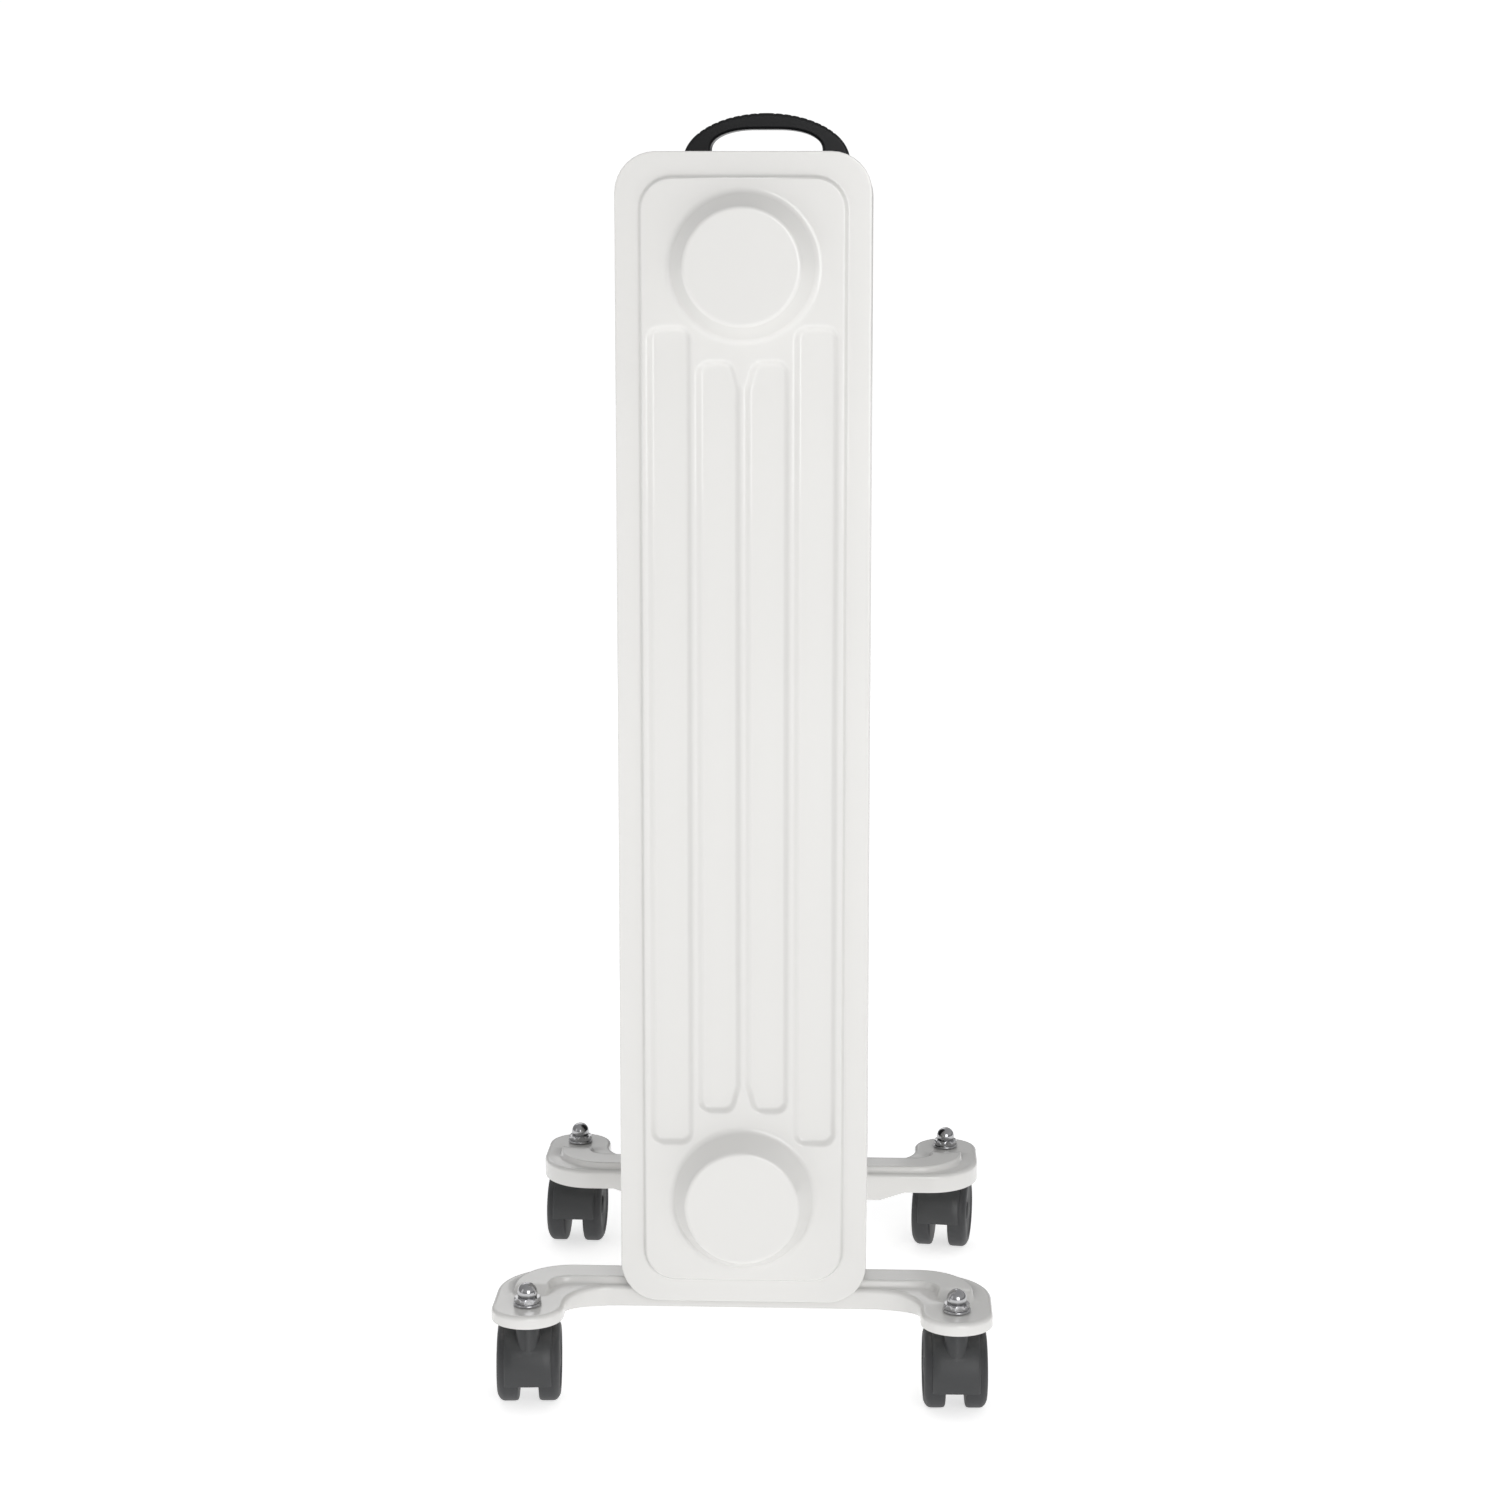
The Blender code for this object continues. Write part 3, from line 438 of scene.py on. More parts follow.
@dataclass
class PressedSheet:
    """A pressing seen from above: loops place its points and a rule gives their height.

    Attributes:
        outline: The outer edge.
        rule: Height of the points from their two coordinates.
    """

    outline: Outline
    rule: Rule

    def __post_init__(self) -> None:
        """Starts the list of loops with the outer edge."""
        self.loops: list[Outline] = [self.outline]

    def add(self, loop: Outline) -> None:
        """Adds a closed loop that the triangles follow."""
        self.loops.append(loop)

    def build(self, holes: Sequence[Outline] = ()) -> tuple[bmesh.types.BMesh, set[bmesh.types.BMVert]]:
        """Triangulates the loops.

        Args:
            holes: Loops, already added, that stay open.

        Returns:
            The open surface over the plane and the points of its outer edge.
        """
        points: list[Vector] = []
        edges: list[tuple[int, int]] = []
        for loop in self.loops:
            start = len(points)
            points += [Vector((x / MM, y / MM)) for x, y in loop]
            edges += [(start + i, start + (i + 1) % len(loop)) for i in range(len(loop))]
        spots, _, triangles, origin, _, _ = delaunay_2d_cdt(points, edges, [], 0, 1e-5)
        x = np.array([spot.x for spot in spots]) * MM
        y = np.array([spot.y for spot in spots]) * MM
        height = self.rule(x, y)
        corners = np.array([list(t) for t in triangles])
        middle_x, middle_y = x[corners].mean(axis=1), y[corners].mean(axis=1)
        kept = depth_inside(middle_x, middle_y, self.outline) > 0.0
        for hole in holes:
            kept &= depth_inside(middle_x, middle_y, hole) < 0.0
        surface = bmesh.new()
        verts = [surface.verts.new(spot) for spot in zip(x, y, height)]
        for triangle in corners[kept]:
            surface.faces.new([verts[i] for i in triangle])
        for face in surface.faces:
            face.normal_update()
            if face.normal.z < 0.0:
                face.normal_flip()
        rim = {verts[i] for i, sources in enumerate(origin) if any(s < len(self.outline) for s in sources)}
        loose = [vert for vert in surface.verts if not vert.link_faces]
        bmesh.ops.delete(surface, geom=loose, context="VERTS")
        return surface, rim


def hang_walls(surface: bmesh.types.BMesh, verts: set[bmesh.types.BMVert], lower: Rule) -> dict:
    """Hangs walls from the open edges of a pressing.

    Args:
        surface: The pressing.
        verts: The edge points that get a wall.
        lower: Height of the wall's lower edge from the two coordinates.

    Returns:
        The lower point of each edge point.
    """
    spots = list(verts)
    x = np.array([vert.co.x for vert in spots])
    y = np.array([vert.co.y for vert in spots])
    twins = {vert: surface.verts.new((*vert.co.xy, z)) for vert, z in zip(spots, lower(x, y))}
    open_loops = [edge.link_loops[0] for edge in surface.edges
                  if edge.is_boundary and edge.verts[0] in verts and edge.verts[1] in verts]
    for loop in open_loops:
        here, ahead = loop.vert, loop.link_loop_next.vert
        surface.faces.new((ahead, here, twins[here], twins[ahead]))
    return twins


def backed(surface: bmesh.types.BMesh, inner: Rule) -> bmesh.types.BMesh:
    """Makes a closed sheet of a pressing.

    Args:
        surface: The open pressing.
        inner: Height of its inner surface from the two coordinates.

    Returns:
        The same bmesh, closed.
    """
    faces = [list(face.verts) for face in surface.faces]
    twins = hang_walls(surface, set(surface.verts), inner)
    for face in faces:
        surface.faces.new([twins[vert] for vert in reversed(face)])
    return surface


# ---------------------------------------------------------------- pieces

def dress(thing: bpy.types.Object, material: bpy.types.Material) -> None:
    """Gives an object one material in all of its slots."""
    if not thing.material_slots:
        thing.data.materials.append(material)
    for place in thing.material_slots:
        place.material = material


def piece(name: str, mesh: bpy.types.Mesh, body: str, material: bpy.types.Material,
          replaces: Sequence[str] = (), sharp: float = 40.0) -> bpy.types.Object:
    """Adds one finished piece that rides on a body.

    Args:
        name: The piece's name.
        mesh: Its mesh, already in place.
        body: The body that it moves with.
        material: Its material.
        replaces: CAD nodes that it stands for.
        sharp: Edges above this angle in degrees stay sharp.

    Returns:
        The new object.
    """
    mesh.name = name
    mesh.materials.clear()
    mesh.shade_smooth()
    mesh.set_sharp_from_angle(angle=math.radians(sharp))
    thing = carrier(name, mesh)
    dress(thing, material)
    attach(thing, body)
    if replaces:
        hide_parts(*replaces)
    log.info("%s on %s: %d faces", name, body, len(mesh.polygons))
    return thing


def soften(thing: bpy.types.Object, width: float, segments: int = 3, angle: float = 35.0) -> None:
    """Rounds a piece's sharp edges with a Bevel modifier that stays on it."""
    bevel = thing.modifiers.new("rounded_edges", "BEVEL")
    bevel.width = width
    bevel.segments = segments
    bevel.limit_method = "ANGLE"
    bevel.angle_limit = math.radians(angle)
    bevel.harden_normals = False


def carried(node: str, material: bpy.types.Material) -> None:
    """Gives a CAD node that stays visible its material."""
    dress(frame["nodes"][node], material)
    log.info("%s keeps its packed shape", node)


def joint(name: str) -> dict:
    """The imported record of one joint."""
    return next(entry for entry in frame["joints"] if entry["name"] == name)


# ---------------------------------------------------------------- finishes

Colour = tuple[float, float, float]


class Graph:
    """Adds and joins the nodes of one tree."""

    def __init__(self, tree: bpy.types.NodeTree) -> None:
        """Starts from an empty tree."""
        self.tree = tree
        tree.nodes.clear()

    def add(self, kind: str, inputs: dict | None = None, **settings: object) -> bpy.types.Node:
        """Adds a node.

        Args:
            kind: Blender's name of the node type.
            inputs: Values or output sockets by the input's name or number.
            settings: The node's own settings.

        Returns:
            The new node.
        """
        node = self.tree.nodes.new(kind)
        for key, value in settings.items():
            setattr(node, key, value)
        for key, value in (inputs or {}).items():
            if isinstance(value, bpy.types.NodeSocket):
                self.tree.links.new(value, node.inputs[key])
            else:
                node.inputs[key].default_value = value
        return node

    def math(self, operation: str, *values: object) -> bpy.types.NodeSocket:
        """A Math node's result."""
        return self.add("ShaderNodeMath", dict(enumerate(values)), operation=operation).outputs[0]

    def vector(self, operation: str, *values: object) -> bpy.types.NodeSocket:
        """A Vector Math node's result."""
        return self.add("ShaderNodeVectorMath", dict(enumerate(values)), operation=operation).outputs[0]

    def ramp(self, value: object, low: float, high: float, start: float = 0.0,
             end: float = 1.0) -> bpy.types.NodeSocket:
        """Maps a value from one range to another, clamped."""
        inputs = {"Value": value, "From Min": low, "From Max": high, "To Min": start, "To Max": end}
        return self.add("ShaderNodeMapRange", inputs).outputs["Result"]

    def mix(self, share: object, first: object, second: object) -> bpy.types.NodeSocket:
        """Mixes two colours."""
        values = [(*value, 1.0) if isinstance(value, tuple) else value for value in (first, second)]
        return self.add("ShaderNodeMix", {0: share, 6: values[0], 7: values[1]}, data_type="RGBA").outputs[2]

    def noise(self, place: object, scale: object, detail: float = 2.0, rough: float = 0.5) -> bpy.types.NodeSocket:
        """A noise texture's value."""
        inputs = {"Vector": place, "Scale": scale, "Detail": detail, "Roughness": rough}
        return self.add("ShaderNodeTexNoise", inputs).outputs["Fac"]


def effect(name: str, inputs: dict[str, float], outputs: Sequence[str],
           fill: Callable[[Graph, bpy.types.Node, bpy.types.NodeSocket], dict]) -> bpy.types.NodeTree:
    """A shader node group, built once.

    Args:
        name: The group's name.
        inputs: Its number inputs with their first values.
        outputs: Its number outputs.
        fill: Makes the nodes from the graph, the inputs and the Object coordinates.

    Returns:
        The group.
    """
    tree = bpy.data.node_groups.get(name)
    if tree:
        return tree
    tree = bpy.data.node_groups.new(name, "ShaderNodeTree")
    for label, value in inputs.items():
        tree.interface.new_socket(label, in_out="INPUT", socket_type="NodeSocketFloat").default_value = value
    for label in outputs:
        tree.interface.new_socket(label, in_out="OUTPUT", socket_type="NodeSocketFloat")
    graph = Graph(tree)
    given = graph.add("NodeGroupInput")
    place = graph.add("ShaderNodeTexCoord").outputs["Object"]
    graph.add("NodeGroupOutput", fill(graph, given, place))
    return tree


def fine_grain() -> bpy.types.NodeTree:
    """The small bumps of a moulded or sprayed surface, with a slow unevenness under them."""
    def fill(graph: Graph, given: bpy.types.Node, place: bpy.types.NodeSocket) -> dict:
        small = graph.noise(place, given.outputs["Scale"], 3.0, 0.6)
        slow = graph.noise(place, given.outputs["Wave Scale"], 2.0, 0.4)
        share = graph.math("MULTIPLY", slow, given.outputs["Wave"])
        return {"Height": graph.math("ADD", small, share), "Shade": small}
    return effect("fine_grain", {"Scale": 2500.0, "Wave": 1.0, "Wave Scale": 60.0}, ["Height", "Shade"], fill)


def handling() -> bpy.types.NodeTree:
    """Faint wipe marks that change how rough a surface is."""
    def fill(graph: Graph, given: bpy.types.Node, place: bpy.types.NodeSocket) -> dict:
        stretched = graph.vector("MULTIPLY", place, (1.0, 1.0, 0.35))
        broad = graph.noise(stretched, given.outputs["Scale"], 4.0, 0.55)
        return {"Smear": graph.ramp(broad, 0.38, 0.68)}
    return effect("handling", {"Scale": 14.0}, ["Smear"], fill)


def settled_dust() -> bpy.types.NodeTree:
    """A mask for the thin dust that lies on whatever faces up."""
    def fill(graph: Graph, given: bpy.types.Node, place: bpy.types.NodeSocket) -> dict:
        normal = graph.add("ShaderNodeTexCoord").outputs["Normal"]
        upward = graph.add("ShaderNodeSeparateXYZ", {0: normal}).outputs["Z"]
        patches = graph.ramp(graph.noise(place, given.outputs["Scale"], 5.0, 0.6), 0.35, 0.7)
        mask = graph.math("MULTIPLY", graph.ramp(upward, 0.55, 1.0), patches)
        return {"Mask": graph.math("MULTIPLY", mask, given.outputs["Amount"])}
    return effect("settled_dust", {"Scale": 120.0, "Amount": 0.1}, ["Mask"], fill)


def edge_wear() -> bpy.types.NodeTree:
    """A mask for edges that are rubbed bright, broken up by noise."""
    def fill(graph: Graph, given: bpy.types.Node, place: bpy.types.NodeSocket) -> dict:
        edge = graph.ramp(graph.add("ShaderNodeNewGeometry").outputs["Pointiness"], 0.52, 0.62)
        broken = graph.ramp(graph.noise(place, given.outputs["Scale"], 4.0, 0.65), 0.42, 0.62)
        mask = graph.math("MULTIPLY", edge, broken)
        return {"Mask": graph.math("MULTIPLY", mask, given.outputs["Amount"])}
    return effect("edge_wear", {"Scale": 400.0, "Amount": 0.3}, ["Mask"], fill)


@dataclass(frozen=True)
class Finish:
    """What every finish has: a colour, a roughness, and how its surface is broken up.

    Attributes:
        name: The material's name.
        colour: Its main colour, linear.
        roughness: Its mean roughness.
        metallic: 1 for bare metal.
        specular: Specular level.
        coat: Weight of a clear coat.
        coat_roughness: Roughness of the coat.
        grain: Scale of the fine grain, per metre.
        relief: Height of the grain in metres.
        wave: How much slow unevenness goes with the grain.
        shade: How much the grain changes the colour.
        smear: How much handling changes the roughness.
        dust: How much dust lies on it.
        wear: How far its edges are rubbed.
        worn: Colour of the rubbed edges.
    """

    name: str
    colour: Colour
    roughness: float
    metallic: float = 0.0
    specular: float = 0.5
    coat: float = 0.0
    coat_roughness: float = 0.05
    grain: float = 2500.0
    relief: float = 0.006 * MM
    wave: float = 0.0
    shade: float = 0.03
    smear: float = 0.06
    dust: float = 0.1
    wear: float = 0.0
    worn: Colour = (0.5, 0.5, 0.5)

    def build(self) -> bpy.types.Material:
        """Makes the material."""
        material = bpy.data.materials.new(self.name)
        material.use_nodes = True
        material.diffuse_color = (*self.colour, 1.0)
        graph = Graph(material.node_tree)
        self.fill(graph)
        return material

    def fill(self, graph: Graph) -> bpy.types.Node:
        """Adds the nodes and returns the shader."""
        grain = graph.add("ShaderNodeGroup", {}, node_tree=fine_grain())
        grain.inputs["Scale"].default_value = self.grain
        grain.inputs["Wave"].default_value = self.wave
        hands = graph.add("ShaderNodeGroup", {}, node_tree=handling())
        dust = graph.add("ShaderNodeGroup", {}, node_tree=settled_dust())
        dust.inputs["Amount"].default_value = self.dust
        wear = graph.add("ShaderNodeGroup", {}, node_tree=edge_wear())
        wear.inputs["Amount"].default_value = self.wear

        shade = graph.ramp(grain.outputs["Shade"], 0.3, 0.7, 1.0 - self.shade, 1.0 + self.shade)
        grey = graph.add("ShaderNodeCombineXYZ", {0: shade, 1: shade, 2: shade}).outputs[0]
        base = graph.vector("MULTIPLY", self.colour, grey)
        rubbed = graph.mix(wear.outputs["Mask"], base, self.worn)
        dusty = graph.mix(dust.outputs["Mask"], rubbed, (0.55, 0.53, 0.49))
        smear = graph.math("MULTIPLY", hands.outputs["Smear"], self.smear)
        rough = graph.math("ADD", smear, self.roughness)
        rough = graph.math("ADD", rough, graph.math("MULTIPLY", dust.outputs["Mask"], 0.5))
        bump = graph.add("ShaderNodeBump", {"Strength": 1.0, "Distance": self.relief,
                                            "Height": grain.outputs["Height"]})
        shader = graph.add("ShaderNodeBsdfPrincipled", {
            "Base Color": dusty, "Roughness": rough, "Metallic": self.metallic, "Specular IOR Level": self.specular,
            "Coat Weight": self.coat, "Coat Roughness": self.coat_roughness, "Normal": bump.outputs["Normal"]})
        graph.add("ShaderNodeOutputMaterial", {"Surface": shader.outputs[0]})
        return shader


@dataclass(frozen=True)
class LensFinish(Finish):
    """Tinted clear plastic over a neon lamp."""

    glow: float = 0.15

    def fill(self, graph: Graph) -> bpy.types.Node:
        """Adds the nodes and returns the shader."""
        shader = super().fill(graph)
        shader.inputs["Transmission Weight"].default_value = 0.45
        shader.inputs["IOR"].default_value = 1.49
        shader.inputs["Emission Color"].default_value = (*self.colour, 1.0)
        shader.inputs["Emission Strength"].default_value = self.glow
        return shader


@dataclass(frozen=True)
class FloorFinish(Finish):
    """Seamless paper under and behind the heater."""

    lift: float = 0.64

    def fill(self, graph: Graph) -> bpy.types.Node:
        """Adds the nodes and returns the shader."""
        shader = super().fill(graph)
        shader.inputs["Emission Color"].default_value = (1.0, 1.0, 1.0, 1.0)
        shader.inputs["Emission Strength"].default_value = self.lift
        return shader


class Palette:
    """Every finish of the heater, made once."""

    def __init__(self) -> None:
        """Builds the materials."""
        self.paint = Finish("warm_white_enamel", (0.755, 0.748, 0.728), 0.27, coat=0.55, coat_roughness=0.08,
                            grain=1400.0, relief=0.003 * MM, wave=0.0, shade=0.003, smear=0.0, dust=0.0).build()
        self.charcoal = Finish("charcoal_nylon", (0.036, 0.0375, 0.039), 0.38, grain=3000.0, relief=0.010 * MM,
                               shade=0.10, smear=0.10, dust=0.10, wear=0.25, worn=(0.10, 0.10, 0.10)).build()
        self.black = Finish("satin_black_moulding", (0.009, 0.0095, 0.0105), 0.30, specular=0.28, grain=2600.0,
                            relief=0.008 * MM, shade=0.08, smear=0.10, dust=0.05, wear=0.15,
                            worn=(0.05, 0.05, 0.05)).build()
        self.gloss_black = Finish("gloss_black_fascia", (0.010, 0.0105, 0.011), 0.12, coat=0.6, grain=900.0,
                                  relief=0.001 * MM, wave=0.6, shade=0.02, smear=0.10, dust=0.05).build()
        self.rubber = Finish("wheel_tread_nylon", (0.030, 0.031, 0.033), 0.50, grain=1800.0, relief=0.020 * MM,
                             shade=0.14, smear=0.14, dust=0.16, wear=0.35, worn=(0.12, 0.115, 0.11)).build()
        self.chrome = Finish("bright_nickel_plate", (0.46, 0.46, 0.47), 0.12, metallic=1.0, grain=1800.0,
                             relief=0.001 * MM, wave=0.6, shade=0.02, smear=0.06, dust=0.02).build()
        self.zinc = Finish("zinc_plated_steel", (0.50, 0.50, 0.48), 0.32, metallic=1.0, grain=2200.0,
                           relief=0.008 * MM, wave=0.4, shade=0.10, smear=0.14, dust=0.04, wear=0.3,
                           worn=(0.75, 0.74, 0.72)).build()
        self.marks = Finish("printed_grey_marks", (0.62, 0.63, 0.63), 0.45, grain=4000.0, relief=0.002 * MM,
                            shade=0.04, dust=0.0).build()
        self.lens = LensFinish("red_neon_lens", (0.60, 0.030, 0.018), 0.12, coat=0.4, grain=700.0,
                               relief=0.002 * MM, shade=0.02, dust=0.0).build()
        self.ceramic = Finish("steatite", (0.70, 0.67, 0.60), 0.55, grain=3500.0, relief=0.02 * MM,
                              shade=0.06, dust=0.05).build()
        self.paper = FloorFinish("seamless_paper", (0.86, 0.86, 0.86), 0.9, specular=0.0, grain=900.0,
                                 relief=0.01 * MM, shade=0.003, smear=0.0, dust=0.0).build()


# ---------------------------------------------------------------- repeats

class Layout(Enum):
    """How copies of a piece are laid out."""

    LINE = "line"
    GRID = "grid"
    ARC = "arc"


LAYOUT_INPUTS: dict[Layout, dict[str, str]] = {
    Layout.LINE: {"Count": "Int", "Step": "Vector"},
    Layout.GRID: {"Width": "Float", "Height": "Float", "Columns": "Int", "Rows": "Int"},
    Layout.ARC: {"Count": "Int", "Radius": "Float", "Start": "Float", "Sweep": "Float"},
}


def new_geometry_tree(name: str, inputs: dict[str, str]) -> tuple[Graph, bpy.types.Node]:
    """Starts a Geometry Nodes tree.

    Args:
        name: The tree's name.
        inputs: The kind of each named input.

    Returns:
        Its graph and its input node.
    """
    tree = bpy.data.node_groups.new(name, "GeometryNodeTree")
    for label, kind in inputs.items():
        tree.interface.new_socket(label, in_out="INPUT", socket_type=f"NodeSocket{kind}")
    tree.interface.new_socket("Geometry", in_out="OUTPUT", socket_type="NodeSocketGeometry")
    graph = Graph(tree)
    return graph, graph.add("NodeGroupInput")


def end_tree(graph: Graph, geometry: bpy.types.NodeSocket, finish: bpy.types.NodeSocket) -> bpy.types.NodeTree:
    """Ends a tree with its material and its output."""
    dressed = graph.add("GeometryNodeSetMaterial", {"Geometry": geometry, "Material": finish}).outputs[0]
    graph.add("NodeGroupOutput", {0: dressed})
    return graph.tree


def layout_tree(layout: Layout) -> bpy.types.NodeTree:
    """The tree that lays out copies of a piece; arcs turn each copy with its angle."""
    name = f"copies_on_{layout.value}"
    if name in bpy.data.node_groups:
        return bpy.data.node_groups[name]
    graph, given = new_geometry_tree(name, {"Piece": "Object", "Finish": "Material", **LAYOUT_INPUTS[layout]})
    out = given.outputs
    extra: dict[str, object] = {}
    if layout is Layout.GRID:
        points = graph.add("GeometryNodeMeshGrid", {
            "Size X": out["Width"], "Size Y": out["Height"], "Vertices X": out["Columns"],
            "Vertices Y": out["Rows"]}).outputs[0]
    elif layout is Layout.LINE:
        points = graph.add("GeometryNodeMeshLine", {"Count": out["Count"], "Offset": out["Step"]}).outputs[0]
    else:
        line = graph.add("GeometryNodeMeshLine", {"Count": out["Count"]}).outputs[0]
        steps = graph.math("SUBTRACT", out["Count"], 1.0)
        share = graph.math("DIVIDE", graph.add("GeometryNodeInputIndex").outputs[0], steps)
        angle = graph.math("MULTIPLY_ADD", share, out["Sweep"], out["Start"])
        x = graph.math("MULTIPLY", graph.math("COSINE", angle), out["Radius"])
        y = graph.math("MULTIPLY", graph.math("SINE", angle), out["Radius"])
        spot = graph.add("ShaderNodeCombineXYZ", {0: x, 1: y}).outputs[0]
        points = graph.add("GeometryNodeSetPosition", {"Geometry": line, "Position": spot}).outputs[0]
        euler = graph.add("ShaderNodeCombineXYZ", {2: angle}).outputs[0]
        extra["Rotation"] = graph.add("FunctionNodeEulerToRotation", {0: euler}).outputs[0]
    copy = graph.add("GeometryNodeObjectInfo", {"Object": out["Piece"]}).outputs["Geometry"]
    copies = graph.add("GeometryNodeInstanceOnPoints", {"Points": points, "Instance": copy, **extra}).outputs[0]
    return end_tree(graph, graph.add("GeometryNodeRealizeInstances", {0: copies}).outputs[0], out["Finish"])


def weld_tree() -> bpy.types.NodeTree:
    """The tree of the weld beads round the headers: one uneven ring between each pair of fins."""
    graph, given = new_geometry_tree("header_weld_beads", {
        "Radius": "Float", "Bead": "Float", "Seams": "Int", "Pitch": "Float", "Ripple": "Float",
        "Finish": "Material"})
    out = given.outputs
    ring = graph.add("GeometryNodeCurvePrimitiveCircle", {"Resolution": 72, "Radius": out["Radius"]}).outputs[0]
    section = graph.add("GeometryNodeCurvePrimitiveCircle", {"Resolution": 10, "Radius": out["Bead"]}).outputs[0]
    bead = graph.add("GeometryNodeCurveToMesh", {"Curve": ring, "Profile Curve": section}).outputs[0]
    upright = graph.add("GeometryNodeTransform", {"Geometry": bead, "Rotation": (QUARTER, 0.0, 0.0)}).outputs[0]
    step = graph.add("ShaderNodeCombineXYZ", {1: out["Pitch"]}).outputs[0]
    points = graph.add("GeometryNodeMeshLine", {"Count": out["Seams"], "Offset": step}).outputs[0]
    copies = graph.add("GeometryNodeInstanceOnPoints", {"Points": points, "Instance": upright}).outputs[0]
    whole = graph.add("GeometryNodeRealizeInstances", {0: copies}).outputs[0]
    place = graph.add("GeometryNodeInputPosition").outputs[0]
    uneven = graph.math("SUBTRACT", graph.noise(place, 260.0, 2.0), 0.5)
    push = graph.vector("SCALE", graph.add("GeometryNodeInputNormal").outputs[0])
    graph.tree.links.new(graph.math("MULTIPLY", uneven, out["Ripple"]), push.node.inputs["Scale"])
    rough = graph.add("GeometryNodeSetPosition", {"Geometry": whole, "Offset": push}).outputs[0]
    return end_tree(graph, rough, out["Finish"])


def grown(name: str, tree: bpy.types.NodeTree, values: dict[str, object],
          sample: bmesh.types.BMesh | None = None) -> bmesh.types.BMesh:
    """Runs a Geometry Nodes tree.

    Args:
        name: Name for the helper objects.
        tree: The tree.
        values: The value of each named input.
        sample: The piece that is copied, where the tree copies one.

    Returns:
        The result as a bmesh.
    """
    helpers = []
    if sample is not None:
        helpers.append(carrier("sample", to_mesh("sample", sample)))
        values = {**values, "Piece": helpers[0]}
    host = carrier(name, bpy.data.meshes.new(name))
    layout = host.modifiers.new("layout", "NODES")
    layout.node_group = tree
    for item in tree.interface.items_tree:
        if item.in_out == "INPUT" and item.name in values:
            layout[item.identifier] = values[item.name]
    mesh = baked(host, *helpers)
    result = bmesh.new()
    result.from_mesh(mesh)
    bpy.data.meshes.remove(mesh)
    return result


# ---------------------------------------------------------------- fins

def box_depth(x: np.ndarray, y: np.ndarray, half: Point2, corner: float) -> np.ndarray:
    """Distance inside a round-cornered rectangle about the origin, negative outside it."""
    across, along = np.abs(x) - half[0] + corner, np.abs(y) - half[1] + corner
    outside = np.hypot(np.maximum(across, 0.0), np.maximum(along, 0.0))
    return corner - outside - np.minimum(np.maximum(across, along), 0.0)


def roll_drop(depth: np.ndarray, radius: float) -> np.ndarray:
    """How far a rolled edge of that radius falls below its face."""
    short = np.clip(radius - depth, 0.0, radius)
    return radius - np.sqrt(np.maximum(radius * radius - short * short, 0.0))


